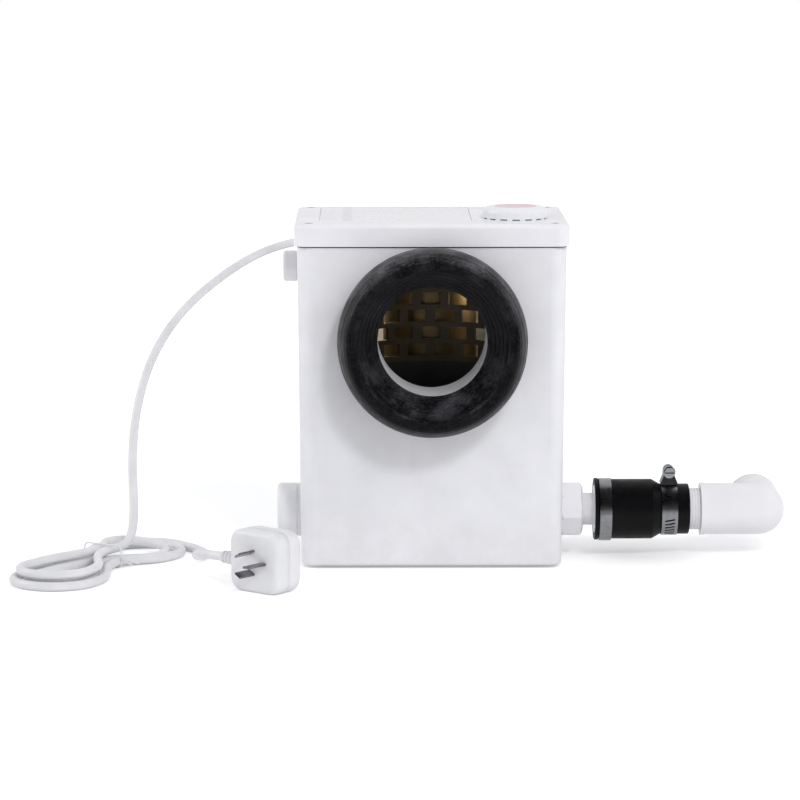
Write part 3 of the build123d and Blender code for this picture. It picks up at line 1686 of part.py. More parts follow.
def plug_body():
    half = plug_width / 2
    frame = Pos(plug_x, plug_y, 0) * Rot(0, 0, -plug_turn)
    body = block(-half, half, -plug_depth / 2, plug_depth / 2, 0, plug_height)
    body = fillet(body.edges().filter_by(Axis.Y), plug_corner)
    body = fillet(body.faces().sort_by(Axis.Y)[-1].edges(), plug_edge)
    body = fillet(body.faces().sort_by(Axis.Y)[0].edges(), plug_edge / 2)
    relief = turned_x([
        (-half - relief_length, 0),
        (-half - relief_length, relief_tip),
        (-half + plug_edge, relief_root),
        (-half + plug_edge, 0),
    ])
    body += Pos(0, 0, plug_entry) * relief
    for hole, turn in blade_places():
        body -= hole * blade_shape(plug_depth / 4, turn, slip, earth_length)
    return frame * body


def blade_places():
    face = -plug_depth / 2
    return [
        (Pos(-plug_face_inset, face, plug_centre + blade_spacing), blade_slant),
        (Pos(-plug_face_inset, face, plug_centre - blade_spacing), -blade_slant),
        (Pos(earth_place, face, plug_centre), 0),
    ]


def blade_shape(depth, turn, margin, length):
    body = block(-blade_width / 2 - margin, blade_width / 2 + margin, -length, depth,
                 -blade_thickness / 2 - margin, blade_thickness / 2 + margin)
    return Rot(0, turn, 0) * body


def plug_blades():
    frame = Pos(plug_x, plug_y, 0) * Rot(0, 0, -plug_turn)
    group = []
    for number, (place, turn) in enumerate(blade_places()):
        length = earth_length if number == 2 else blade_length
        blade = blade_shape(plug_depth / 4 - slip, turn, 0, length)
        blade = chamfer(blade.faces().sort_by(Axis.Y)[0].edges(), blade_edge)
        group.append(frame * place * blade)
    return Compound(children=group)


pieces = (
    tank, base_mat, lid, lid_screws, lid_seal, label_panel, vent_cap, vent_disc, carbon_pad,
    inlet_boot, basket_screen, cutter_bowl, platform, platform_screws,
    shaft_seal, motor_housing, motor_cover, stator_core, stator_windings, rotor_core, motor_shaft, bearings,
    cutter, volute, pump_bush, impeller, impeller_nut, suction_plate, pump_screws,
    valve_body, valve_flap, flap_pin, side_inlet_cap, upper_side_plug,
    discharge_tail, discharge_nut, rubber_sleeve, small_band, worm_band, worm_housing, worm_screw,
    discharge_pipe, discharge_elbow,
    pressure_chamber, chamber_cap, diaphragm, switch_body, switch_lever, lever_pin,
    capacitor, terminal_block, inner_lead, wires,
    cord_gland, cord_drop, cord_hank, cord_tie, cord_lead, plug_body, plug_blades,
)

for piece in pieces:
    save(piece(), piece.__name__)
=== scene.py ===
import math

import bmesh
import bpy
from mathutils import Matrix, Vector


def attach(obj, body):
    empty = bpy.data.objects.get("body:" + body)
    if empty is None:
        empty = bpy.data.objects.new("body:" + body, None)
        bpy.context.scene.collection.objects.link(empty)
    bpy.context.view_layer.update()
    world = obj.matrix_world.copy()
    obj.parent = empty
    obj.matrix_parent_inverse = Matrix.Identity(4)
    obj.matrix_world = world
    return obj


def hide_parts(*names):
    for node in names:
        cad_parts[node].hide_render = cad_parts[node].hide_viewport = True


# Macerator toilet pump: camera, cord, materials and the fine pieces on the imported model.
# Metres, +X to the discharge side, +Y to the rear, +Z up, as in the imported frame.

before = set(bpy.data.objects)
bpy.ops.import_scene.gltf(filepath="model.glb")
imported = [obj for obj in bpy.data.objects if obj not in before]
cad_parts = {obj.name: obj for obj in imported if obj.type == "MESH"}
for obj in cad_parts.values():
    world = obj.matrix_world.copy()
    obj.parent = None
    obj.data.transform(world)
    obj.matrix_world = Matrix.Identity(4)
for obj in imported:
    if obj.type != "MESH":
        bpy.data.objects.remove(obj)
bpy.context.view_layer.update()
MM = 0.001


def metres(*values):
    return Vector([value * MM for value in values])


# Camera: the photograph's view of the casing, from a little above

camera_place = metres(-50, -2833, 542)
camera_pitch = 8.382
camera_yaw = 0.515
camera_lens = 158.9
camera_sensor = 36
camera_near = 0.05
camera_far = 40


def set_camera():
    data = bpy.data.cameras.new("camera")
    data.lens = camera_lens
    data.sensor_width = camera_sensor
    data.sensor_fit = "HORIZONTAL"
    data.clip_start = camera_near
    data.clip_end = camera_far
    camera = bpy.data.objects.new("camera", data)
    bpy.context.collection.objects.link(camera)
    turn = Matrix.Rotation(math.radians(-camera_yaw), 4, "Z")
    tilt = Matrix.Rotation(math.radians(90 - camera_pitch), 4, "X")
    camera.matrix_world = Matrix.Translation(camera_place) @ turn @ tilt
    bpy.context.scene.camera = camera


set_camera()


# Material helpers

def linear(hexa):
    out = []
    for start in (0, 2, 4):
        value = int(hexa[start:start + 2], 16) / 255
        out.append(value / 12.92 if value <= 0.04045 else ((value + 0.055) / 1.055) ** 2.4)
    return (*out, 1.0)


def add(tree, kind, links=None, values=None, **settings):
    made = tree.nodes.new(kind)
    for key, value in settings.items():
        setattr(made, key, value)
    for key, value in (values or {}).items():
        made.inputs[key].default_value = value
    for key, source in (links or {}).items():
        tree.links.new(source, made.inputs[key])
    return made


def object_place(tree, stretch=(1, 1, 1)):
    place = add(tree, "ShaderNodeTexCoord").outputs["Object"]
    if stretch == (1, 1, 1):
        return place
    return add(tree, "ShaderNodeMapping", {"Vector": place}, {"Scale": stretch}).outputs["Vector"]


def speckle(tree, place, size_mm, detail=3.0, rough=0.55):
    return add(tree, "ShaderNodeTexNoise", {"Vector": place},
               {"Scale": 1 / (size_mm * MM), "Detail": detail, "Roughness": rough}).outputs["Fac"]


def ranged(tree, value, low, high, to_low=0.0, to_high=1.0):
    return add(tree, "ShaderNodeMapRange", {"Value": value},
               {"From Min": low, "From Max": high, "To Min": to_low, "To Max": to_high}).outputs["Result"]


def evened(tree, value, to_low=0.0, to_high=1.0):
    """The middle of a noise, spread over a range."""
    return ranged(tree, value, 0.3, 0.7, to_low, to_high)


def math_node(tree, operation, first, second):
    made = add(tree, "ShaderNodeMath", operation=operation)
    for index, value in enumerate((first, second)):
        if isinstance(value, (int, float)):
            made.inputs[index].default_value = value
        else:
            tree.links.new(value, made.inputs[index])
    return made.outputs[0]


def mixed(tree, factor, first, second):
    made = add(tree, "ShaderNodeMix", data_type="RGBA")
    for index, value in ((0, factor), (6, first), (7, second)):
        if isinstance(value, (tuple, float, int)):
            made.inputs[index].default_value = value
        else:
            tree.links.new(value, made.inputs[index])
    return made.outputs[2]


def bumped(tree, height, depth_mm, strength=1.0, normal=None):
    links = {"Height": height}
    if normal is not None:
        links["Normal"] = normal
    values = {"Distance": depth_mm * MM, "Strength": strength}
    return add(tree, "ShaderNodeBump", links, values).outputs["Normal"]


def new_material(name):
    material = bpy.data.materials.new(name)
    material.use_nodes = True
    tree = material.node_tree
    tree.nodes.clear()
    return material, tree


def finish_material(tree, colour, roughness, normal, **values):
    named = {key.replace("_", " ").title().replace("Ior", "IOR"): value for key, value in values.items()}
    links = {"Base Color": colour, "Roughness": roughness, "Normal": normal}
    shader = add(tree, "ShaderNodeBsdfPrincipled", links, named)
    add(tree, "ShaderNodeOutputMaterial", {"Surface": shader.outputs["BSDF"]})


def scratches(tree, stretch, size_mm, share):
    lines = speckle(tree, object_place(tree, stretch), size_mm, 2.0, 0.4)
    return ranged(tree, lines, 1 - share, 1.0)


scuff_share = 0.5
scuff_roughness = 0.12
bottom_tone_height = 55 * MM
bottom_tone_share = 0.5


def moulded(name, base, dull, rough, grain_mm=0.55, grain_depth=0.012, foot=None):
    """Moulded plastic: a fine eroded grain, slow colour drift, handling scuffs and, given a foot colour,
    patchy darkening towards the bottom.
    """
    material, tree = new_material(name)
    place = object_place(tree)
    drift = evened(tree, speckle(tree, place, 38, 4.0))
    colour = mixed(tree, drift, linear(base), linear(dull))
    marks = scratches(tree, (1, 1, 0.16), 9, 0.36)
    faint = math_node(tree, "MULTIPLY", marks, scuff_share)
    colour = mixed(tree, faint, colour, linear(dull))
    # Patchy darkening towards the foot colour in the lowest part of the casing.
    if foot:
        height = add(tree, "ShaderNodeSeparateXYZ", {"Vector": place}).outputs["Z"]
        low = ranged(tree, height, 0.0, bottom_tone_height, bottom_tone_share, 0.0)
        cloud = ranged(tree, speckle(tree, place, 16, 5.0), 0.35, 0.75)
        colour = mixed(tree, math_node(tree, "MULTIPLY", low, cloud), colour, linear(foot))
    grain = speckle(tree, place, grain_mm, 2.0)
    normal = bumped(tree, grain, grain_depth)
    normal = bumped(tree, speckle(tree, place, 60, 2.0), 0.25, 0.35, normal)
    sheen = evened(tree, speckle(tree, place, 14, 4.0), rough - 0.05, rough + 0.07)
    sheen = math_node(tree, "ADD", sheen, math_node(tree, "MULTIPLY", faint, scuff_roughness))
    finish_material(tree, colour, sheen, normal, specular_ior_level=0.5)
    return material


band_left = -70.6 * MM
band_right = -63.4 * MM
band_blur = 0.2 * MM


def label_stock(name, base, band, rough):
    """Smooth label film on the lid: plain, with one faintly tinted band."""
    material, tree = new_material(name)
    place = object_place(tree)
    along = add(tree, "ShaderNodeSeparateXYZ", {"Vector": place}).outputs["X"]
    left = ranged(tree, along, band_left - band_blur, band_left + band_blur)
    right = ranged(tree, along, band_right - band_blur, band_right + band_blur, 1.0, 0.0)
    drift = evened(tree, speckle(tree, place, 40, 3.0), 0.0, 0.35)
    colour = mixed(tree, drift, linear(base), linear("d8d8dc"))
    colour = mixed(tree, math_node(tree, "MULTIPLY", left, right), colour, linear(band))
    normal = bumped(tree, speckle(tree, place, 0.7, 2.0), 0.006, 0.3)
    sheen = evened(tree, speckle(tree, place, 8, 4.0), rough - 0.04, rough + 0.06)
    finish_material(tree, colour, sheen, normal, specular_ior_level=0.5)
    return material


def rubber(name, base, bloom_and_highlight, rough, bloom_and_highlight_share):
    """Moulded rubber: a satin skin, paler in patches on its upper sides, partly from settled dirt and partly
    a painted highlight, and a fine pebble.
    """
    material, tree = new_material(name)
    place = object_place(tree)
    cloud = ranged(tree, speckle(tree, place, 22, 5.0, 0.62), 0.42, 0.74)
    fleck = ranged(tree, speckle(tree, place, 1.8, 3.0), 0.45, 0.7)
    # Upward-facing sides are made paler: partly settled dirt, partly a painted highlight from the light
    # above.
    facing = add(tree, "ShaderNodeNewGeometry").outputs["Normal"]
    upward = add(tree, "ShaderNodeSeparateXYZ", {"Vector": facing}).outputs["Z"]
    upward_dirt_and_light = ranged(tree, upward, -0.1, 0.75, 0.12, 1.0)
    dirt_and_highlight = math_node(tree, "ADD", cloud, math_node(tree, "MULTIPLY", fleck, 0.5))
    dirt_and_highlight = math_node(tree, "MULTIPLY", math_node(tree, "MULTIPLY", dirt_and_highlight, upward_dirt_and_light), bloom_and_highlight_share)
    colour = mixed(tree, dirt_and_highlight, linear(base), linear(bloom_and_highlight))
    normal = bumped(tree, speckle(tree, place, 0.9, 3.0), 0.03)
    normal = bumped(tree, speckle(tree, place, 9, 3.0), 0.18, 0.6, normal)
    sheen = ranged(tree, speckle(tree, place, 12, 4.0), 0.3, 0.72, rough - 0.09, rough + 0.12)
    finish_material(tree, colour, sheen, normal, specular_ior_level=0.1)
    return material


def metal(name, base, tarnish, rough, stretch=(1, 1, 1), line_mm=0.35, depth=0.006, stain=0.35):
    """Drawn, turned or rolled metal: brush lines along the working direction and a light tarnish."""
    material, tree = new_material(name)
    place = object_place(tree)
    lines = speckle(tree, object_place(tree, stretch), line_mm, 3.0, 0.6)
    cloud = ranged(tree, speckle(tree, place, 11, 5.0), 0.42, 0.72)
    colour = mixed(tree, math_node(tree, "MULTIPLY", cloud, stain), linear(base), linear(tarnish))
    streak = evened(tree, lines, 0.0, 0.22)
    colour = mixed(tree, streak, colour, linear(tarnish))
    normal = bumped(tree, lines, depth)
    sheen = evened(tree, speckle(tree, place, 6, 4.0), rough - 0.06, rough + 0.1)
    finish_material(tree, colour, sheen, normal, metallic=1.0)
    return material


def felt(name, base, dull, fibre_mm):
    """Matted fibres with a soft sheen."""
    material, tree = new_material(name)
    place = object_place(tree)
    fibre = speckle(tree, place, fibre_mm, 6.0, 0.7)
    colour = mixed(tree, evened(tree, fibre), linear(base), linear(dull))
    normal = bumped(tree, fibre, 0.4)
    rough = ranged(tree, fibre, 0.2, 0.8, 0.8, 0.98)
    finish_material(tree, colour, rough, normal, sheen_weight=0.3)
    return material


def jacket(name, base, dull):
    """Flexible cord jacket: soft shine, faint extrusion ripple and handling marks."""
    material, tree = new_material(name)
    place = object_place(tree)
    drift = evened(tree, speckle(tree, place, 30, 3.0))
    colour = mixed(tree, drift, linear(base), linear(dull))
    marks = ranged(tree, speckle(tree, place, 3.5, 4.0), 0.6, 0.8, 0.0, 0.35)
    colour = mixed(tree, marks, colour, linear(dull))
    normal = bumped(tree, speckle(tree, place, 0.5, 2.0), 0.012)
    normal = bumped(tree, speckle(tree, place, 5, 2.0), 0.08, 0.5, normal)
    sheen = evened(tree, speckle(tree, place, 7, 3.0), 0.32, 0.48)
    finish_material(tree, colour, sheen, normal, coat_weight=0.05)
    return material


def layers(tree, place, scale, distortion, detail):
    values = {"Scale": scale, "Distortion": distortion, "Detail": detail}
    made = add(tree, "ShaderNodeTexWave", {"Vector": place}, values, wave_type="BANDS", bands_direction="Z")
    return made.outputs["Fac"]


def wound_copper(name):
    """Enamelled wire laid side by side."""
    material, tree = new_material(name)
    bands = layers(tree, object_place(tree, (0.25, 0.25, 1)), 110.0, 3.0, 2.0)
    colour = mixed(tree, bands, linear("8a4a26"), linear("c57b46"))
    normal = bumped(tree, bands, 0.3)
    rough = evened(tree, speckle(tree, object_place(tree), 5), 0.25, 0.45)
    finish_material(tree, colour, rough, normal, metallic=0.85, coat_weight=0.4)
    return material


def laminated(name):
    """A stack of thin steel sheets."""
    material, tree = new_material(name)
    place = object_place(tree)
    sheets = layers(tree, place, 160.0, 0.3, 1.0)
    colour = mixed(tree, sheets, linear("4c4d50"), linear("85878a"))
    normal = bumped(tree, sheets, 0.12)
    rough = evened(tree, speckle(tree, place, 6), 0.35, 0.6)
    finish_material(tree, colour, rough, normal, metallic=0.9)
    return material


# Materials, each named for the real one

white_abs = moulded("white_abs_casing", "ececf0", "e3e3e7", 0.38, foot="dad8d4")
white_lid = moulded("white_abs_lid", "f2f1f5", "e9e8ed", 0.36)
white_panel = label_stock("white_label_film", "eaeaee", "dcdce2", 0.3)
white_vent = moulded("white_abs_vent_cap", "eff0f2", "e4e7ea", 0.3)
red_disc = moulded("pale_red_polypropylene_disc", "e3c6cb", "dab9bf", 0.35)
white_pvc = moulded("white_pvc_fitting", "f0eff2", "e7e6ea", 0.32, grain_mm=0.9, grain_depth=0.008)
cap_pp = moulded("white_polypropylene_cap", "f2f2f4", "e9e9ec", 0.4)
brown_pp = moulded("brown_polypropylene_screen", "352a14", "2a2110", 0.5, grain_depth=0.02)
black_pp = moulded("black_glass_filled_nylon", "0c0c0d", "141415", 0.5, grain_depth=0.02)
grey_abs = moulded("grey_abs_moulding", "8e9093", "7f8184", 0.42)
plug_plastic = moulded("pale_grey_pvc_plug", "ececef", "dfdfe3", 0.38, grain_mm=0.7)
tie_paper = moulded("white_paper_tie", "f0f0f0", "dcdcdc", 0.6, grain_mm=0.4, grain_depth=0.06)
# The pale second colour of each rubber is partly dirt and partly a painted highlight on its upper sides.
boot_rubber = rubber("black_epdm_boot", "0c0b0e", "7c7c82", 0.34, 0.42)
sleeve_rubber = rubber("black_epdm_sleeve", "0c0b0d", "3a3a3e", 0.42, 0.12)
seal_rubber = rubber("black_nitrile_rubber", "1d1c1e", "45444a", 0.5, 0.3)
grey_gland = rubber("grey_pvc_gland", "a9a9ac", "c4c4c8", 0.48, 0.4)
clamp_steel = metal("rolled_clamp_steel", "8f9093", "5d5e62", 0.3, (1, 0.06, 0.06), 0.4, 0.004)
blackened_steel = metal("blackened_clamp_steel", "3c3c40", "222225", 0.36, (1, 0.06, 0.06), 0.4, 0.004)
turned_steel = metal("turned_stainless_steel", "a9abae", "7d7f83", 0.28, (1, 1, 0.1), 0.3)
motor_zinc = metal("zinc_passivated_steel", "7b6c4e", "574b35", 0.5, (1, 1, 0.12), 0.5)
sintered_bronze = metal("sintered_bronze", "9a7340", "6c4f2a", 0.45, line_mm=0.2, depth=0.02)
can_aluminium = metal("drawn_aluminium_can", "b5b7ba", "8f9195", 0.33, (1, 1, 0.08), 0.4)
pin_brass = metal("nickel_plated_brass", "85858a", "4e4d50", 0.25, (0.1, 0.1, 1), 0.3, stain=0.6)
carbon_felt = felt("activated_carbon_felt", "1c1c1d", "38383a", 0.6)
cord_jacket = jacket("white_grey_pvc_jacket", "e9e9eb", "dadadd")
wire_jacket = jacket("brown_pvc_wire", "6b4a36", "54392a")
copper = wound_copper("enamelled_copper_wire")
lamination = laminated("silicon_steel_laminations")

node_materials = {
    "tank": white_abs, "base_mat": seal_rubber, "lid": white_lid, "lid_screws": turned_steel,
    "lid_seal": seal_rubber, "label_panel": white_panel, "vent_cap": white_vent, "vent_disc": red_disc,
    "carbon_pad": carbon_felt, "inlet_boot": boot_rubber, "basket_screen": brown_pp,
    "cutter_bowl": black_pp, "platform": black_pp, "platform_screws": turned_steel,
    "shaft_seal": seal_rubber, "motor_housing": motor_zinc, "motor_cover": motor_zinc,
    "stator_core": lamination, "stator_windings": copper, "rotor_core": lamination,
    "motor_shaft": turned_steel, "bearings": turned_steel, "cutter": turned_steel, "volute": black_pp,
    "pump_bush": sintered_bronze, "impeller": black_pp, "impeller_nut": turned_steel,
    "suction_plate": black_pp, "pump_screws": turned_steel, "valve_body": white_pvc,
    "valve_flap": seal_rubber, "flap_pin": turned_steel, "side_inlet_cap": cap_pp,
    "upper_side_plug": white_pvc, "discharge_tail": white_pvc, "discharge_nut": white_pvc,
    "rubber_sleeve": sleeve_rubber, "small_band": clamp_steel, "worm_band": clamp_steel,
    "worm_housing": blackened_steel, "worm_screw": turned_steel, "discharge_pipe": white_pvc,
    "discharge_elbow": white_pvc, "pressure_chamber": grey_abs, "chamber_cap": black_pp,
    "diaphragm": seal_rubber, "switch_body": black_pp, "switch_lever": turned_steel,
    "lever_pin": turned_steel, "capacitor": can_aluminium, "terminal_block": grey_abs,
    "inner_lead": cord_jacket, "wires": wire_jacket, "cord_gland": grey_gland, "cord_tie": tie_paper,
    "plug_body": plug_plastic, "plug_blades": pin_brass,
}
for name, material in node_materials.items():
    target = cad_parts[name]
    if not target.material_slots:
        target.data.materials.append(material)
    for entry in target.material_slots:
        entry.material = material


# Mesh helpers

def mesh_object(name, build, material, smooth=True):
    mesh = bpy.data.meshes.new(name)
    work = bmesh.new()
    build(work)
    bmesh.ops.recalc_face_normals(work, faces=work.faces)
    work.to_mesh(mesh)
    work.free()
    if smooth:
        mesh.shade_smooth()
    mesh.materials.append(material)
    made = bpy.data.objects.new(name, mesh)
    bpy.context.collection.objects.link(made)
    return made


def loft(work, rings, close_start=True, close_end=True):
    rows = [[work.verts.new(point) for point in ring] for ring in rings]
    count = len(rows[0])
    for lower, upper in zip(rows, rows[1:]):
        for index in range(count):
            after = (index + 1) % count
            work.faces.new((lower[index], lower[after], upper[after], upper[index]))
    if close_start:
        work.faces.new(list(reversed(rows[0])))
    if close_end:
        work.faces.new(rows[-1])
    return rows


# The mains lead: drop, hank and lead in one spline

# All in mm until the curve is made. Along and across are the hank's own directions, from its tied waist.

hank_centre = (-262, -62)
hank_turn = math.radians(57)
drawn_in = 13.4
drawn_over = 80
lobe_step = 30
half_step = 15
crossing_steps = 4

low_level = 3.75
high_level = 11.8
low_waist = 5.2
high_waist = 13.3
inner_strand = 4.05
outer_strand = 13.75
outer_ring = 40.7
outer_centre = 52


def eased(share):
    return 2 * share ** 2 if share < 0.5 else 1 - 2 * (1 - share) ** 2


def hank_place(along, across, z):
    """A place in the hank. Its far half is drawn in a little to the right."""
    shift = drawn_in * eased(min(max(-along / drawn_over, 0), 1))
    x = hank_centre[0] + shift + along * math.cos(hank_turn) + across * math.sin(hank_turn)
    y = hank_centre[1] + along * math.sin(hank_turn) - across * math.cos(hank_turn)
    return (x, y, z)


def crossing(start, end):
    made = []
    for step in range(1, crossing_steps + 1):
        share = step / crossing_steps
        along = start[0] + (end[0] - start[0]) * share
        across = start[1] + (end[1] - start[1]) * eased(share)
        made.append((along, across, start[2] + (end[2] - start[2]) * share))
    return made


def lobe(side, centre, radius, z_in, z_out):
    """Control points round one end of the hank, set out so that the curve keeps the radius."""
    ring = radius / math.cos(math.radians(half_step))
    count = 180 // lobe_step
    made = []
    for step in range(count):
        angle = math.radians(half_step + lobe_step * step)
        share = (step + 0.5) / count
        along = side * (centre + ring * math.sin(angle))
        made.append((along, -side * ring * math.cos(angle), z_in + (z_out - z_in) * share))
    return made


# Each turn: side, lobe centre, lobe radius, height in and out, straight neck, next waist place and height
hank_turns = (
    (-1, 82.0, 28.0, high_level, high_level, 0, -inner_strand, high_waist),
    (1, 45.0, 23.0, high_level, low_level, 0, inner_strand, low_waist),
    (-1, 80.0, 23.0, low_level, low_level, 0, -inner_strand, low_waist),
    (1, 52.0, 32.0, low_level, low_level, 42, outer_strand, low_waist),
    (-1, 81.5, 33.5, low_level, low_level, 0, -outer_strand, low_waist),
)

# The last, outermost half turn: angle round the ring, and half the step that it stands for
outer_turns = ((15, 15), (45, 15), (75, 15), (100, 10))
outer_start = (43.0, -outer_ring, low_level)
outer_leave = (81.1, 39.1, low_level)


def hank_points():
    waist = (0.0, inner_strand, high_waist)
    made = [waist]
    for side, centre, radius, z_in, z_out, neck, across, z in hank_turns:
        reach = side * (centre - radius * math.tan(math.radians(half_step)))
        made += crossing(waist, (reach, -side * radius, z_in))
        made += lobe(side, centre, radius, z_in, z_out)
        leave = (side * neck if neck else reach, side * radius, z_out)
        made.append((reach, side * radius, z_out))
        waist = (0.0, across, z)
        made += crossing(leave, waist)
    made += crossing(waist, outer_start)
    for angle, spread in outer_turns:
        ring = outer_ring / math.cos(math.radians(spread))
        turned = math.radians(angle)
        made.append((outer_centre + ring * math.sin(turned), -ring * math.cos(turned), low_level))
    made.append(outer_leave)
    return [hank_place(*point) for point in made]


drop_points = [
    (-78, 102, 242), (-78, 122, 242), (-87.3, 139.1, 241.2), (-103.7, 149.6, 239.4), (-123.2, 150.6, 235.8),
    (-144.5, 141, 228.5), (-163, 120, 219.5), (-181, 93.5, 208.5), (-200.5, 69, 193), (-218, 48.5, 172),
    (-231, 34, 146.5), (-238.8, 22.5, 118), (-241.9, 10.5, 92), (-242.2, 0, 66), (-240.1, -10.6, 37.8),
    (-240.7, -26.3, 19.9), hank_place(24, inner_strand, high_waist),
]
lead_points = [
    (-180.5, -45.2, 5.2), (-185.5, -68, 9.2), (-187, -91.5, 14.5), (-181.9, -115.6, 21), (-160.4, -133.6, 21),
]
cord_radius = 3.6


def make_cord():
    points = drop_points + hank_points() + lead_points
    curve = bpy.data.curves.new("mains_lead", "CURVE")
    curve.dimensions = "3D"
    spline = curve.splines.new("NURBS")
    spline.points.add(len(points) - 1)
    for point, place in zip(spline.points, points):
        point.co = (*[value * MM for value in place], 1)
    spline.order_u = 3
    spline.use_endpoint_u = True
    spline.resolution_u = 6
    curve.bevel_depth = cord_radius * MM
    curve.bevel_resolution = 5
    curve.use_fill_caps = True
    curve.materials.append(cord_jacket)
    made = bpy.data.objects.new("mains_lead", curve)
    bpy.context.collection.objects.link(made)
    return made


cord = make_cord()


# Plug: a crowned moulding with rounded corners and a short ribbed relief

plug_turn = Matrix.Translation(metres(-129, -160, 0)) @ Matrix.Rotation(math.radians(-40), 4, "Z")
plug_half_width = 25
plug_half_height = 24
plug_corner = 10
plug_corner_least = 3.5
plug_corner_fall = 0.55
corner_steps = 7
plug_front = -15.5
plug_back = 15.5
front_edge = 4.5
back_edge = 6.5
back_start = 0.5
# Depth along the plug and how far the outline has drawn in: the flat face, the parting groove, the flank
face_profile = ((plug_front, 17.0), (plug_front, 9.0))
groove_profile = ((-7, 0.0), (-1.0, 0.0), (-0.7, 0.3), (-0.2, 0.3), (0.1, 0.0), (4, 0.1), (8, 0.35))
back_profile = ((plug_back, 13.0),)


def rounded_ring(inset, depth):
    radius = max(plug_corner - inset * plug_corner_fall, plug_corner_least)
    made = []
    for x_side, z_side, start in ((1, 1, 0), (-1, 1, 90), (-1, -1, 180), (1, -1, 270)):
        x = x_side * (plug_half_width - inset - radius)
        z = z_side * (plug_half_height - inset - radius)
        for step in range(corner_steps + 1):
            angle = math.radians(start + 90 * step / corner_steps)
            across = x + radius * math.cos(angle)
            up = plug_half_height + z + radius * math.sin(angle)
            made.append(plug_turn @ metres(across, depth, up))
    return made


def build_plug(work):
    angles = [math.radians(90 * step / corner_steps) for step in range(corner_steps + 1)]
    profile = list(face_profile)
    for angle in angles:
        profile.append((plug_front + front_edge * (1 - math.cos(angle)), front_edge * (1 - math.sin(angle))))
    profile += groove_profile
    for angle in angles:
        depth = plug_back - back_edge + back_edge * math.sin(angle)
        profile.append((depth, back_start + back_edge * (1 - math.cos(angle))))
    profile += back_profile
    loft(work, [rounded_ring(inset, depth) for depth, inset in profile])


relief_height = 21
relief_sides = 28
rib_count = 4
rib_start = 28.0
rib_step = 4.0
rib_radius = 6.1
rib_fall = 0.4
relief_collar = ((23.0, 8.6), (24.6, 8.2), (25.6, 7.4), (26.6, 6.5))
relief_end = ((43.8, 4.8), (44.8, 4.5), (45.0, 3.8))
# Along one rib, and how much less than the rib's radius
rib_shape = ((0, 0), (0.4, 0.8), (1.4, 0.85), (1.8, 0.1))


def build_relief(work):
    """The ribbed sleeve where the lead enters the plug."""
    points = list(relief_collar)
    for rib in range(rib_count):
        start = rib_start + rib_step * rib
        radius = rib_radius - rib_fall * rib
        points += [(start + along, radius - less) for along, less in rib_shape]
    points += relief_end
    rings = []
    for reach, radius in points:
        ring = []
        for step in range(relief_sides):
            angle = math.tau * step / relief_sides
            up = relief_height + radius * math.sin(angle)
            ring.append(plug_turn @ metres(-reach, radius * math.cos(angle), up))
        rings.append(ring)
    loft(work, rings)


plug = mesh_object("plug_moulding", build_plug, plug_plastic)
relief = mesh_object("plug_relief", build_relief, plug_plastic)

for piece in (cord, plug, relief):
    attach(piece, "tank_body")
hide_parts("cord_drop", "cord_hank", "cord_lead")
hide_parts("plug_body")


# Screws: one cross-recessed head, set out by geometry nodes

head_sides = 40
head_profile = ((3.78, -0.45), (3.8, -0.2), (3.72, -0.06), (3.5, -0.01), (2.4, -0.01))
recess_arm = 2.05
recess_core = 0.95
recess_half_angle = 14
# Height of the recess and its width there, as a share of its mouth
recess_steps = ((-0.03, 1.0), (-0.9, 0.82), (-1.0, 0.5))


def build_screw_head(work):
    angles = [math.tau * step / head_sides for step in range(head_sides)]
    rings = []
    for radius, z in head_profile:
        rings.append([metres(radius * math.cos(angle), radius * math.sin(angle), z) for angle in angles])
    arms = []
    for angle in angles:
        fold = (math.degrees(angle) + 45) % 90 - 45
        arms.append((angle, recess_arm if abs(fold) < recess_half_angle else recess_core))
    for drop, share in recess_steps:
        rings.append([metres(reach * share * math.cos(angle), reach * share * math.sin(angle), drop)
                      for angle, reach in arms])
    loft(work, rings, close_start=False)


def instance_group():
    """A geometry node group that sets one piece out on points, turned a little more at each."""
    group = bpy.data.node_groups.new("pieces_on_points", "GeometryNodeTree")
    face = group.interface
    face.new_socket("Geometry", in_out="INPUT", socket_type="NodeSocketGeometry")
    face.new_socket("Piece", in_out="INPUT", socket_type="NodeSocketObject")
    face.new_socket("Turn", in_out="INPUT", socket_type="NodeSocketFloat")
    face.new_socket("Size", in_out="INPUT", socket_type="NodeSocketFloat")
    face.new_socket("Material", in_out="INPUT", socket_type="NodeSocketMaterial")
    face.new_socket("Geometry", in_out="OUTPUT", socket_type="NodeSocketGeometry")
    entry = add(group, "NodeGroupInput")
    exit_node = add(group, "NodeGroupOutput")
    piece = add(group, "GeometryNodeObjectInfo", {"Object": entry.outputs["Piece"]})
    index = add(group, "GeometryNodeInputIndex")
    angle = add(group, "ShaderNodeMath", operation="MULTIPLY")
    group.links.new(index.outputs[0], angle.inputs[0])
    group.links.new(entry.outputs["Turn"], angle.inputs[1])
    spin = add(group, "ShaderNodeCombineXYZ", {"Z": angle.outputs[0]})
    set_out = add(group, "GeometryNodeInstanceOnPoints", {
        "Points": entry.outputs["Geometry"], "Instance": piece.outputs["Geometry"],
        "Scale": entry.outputs["Size"], "Rotation": spin.outputs[0]})
    real = add(group, "GeometryNodeRealizeInstances", {"Geometry": set_out.outputs["Instances"]})
    painted = add(group, "GeometryNodeSetMaterial", {
        "Geometry": real.outputs["Geometry"], "Material": entry.outputs["Material"]})
    group.links.new(painted.outputs["Geometry"], exit_node.inputs[0])
    return group


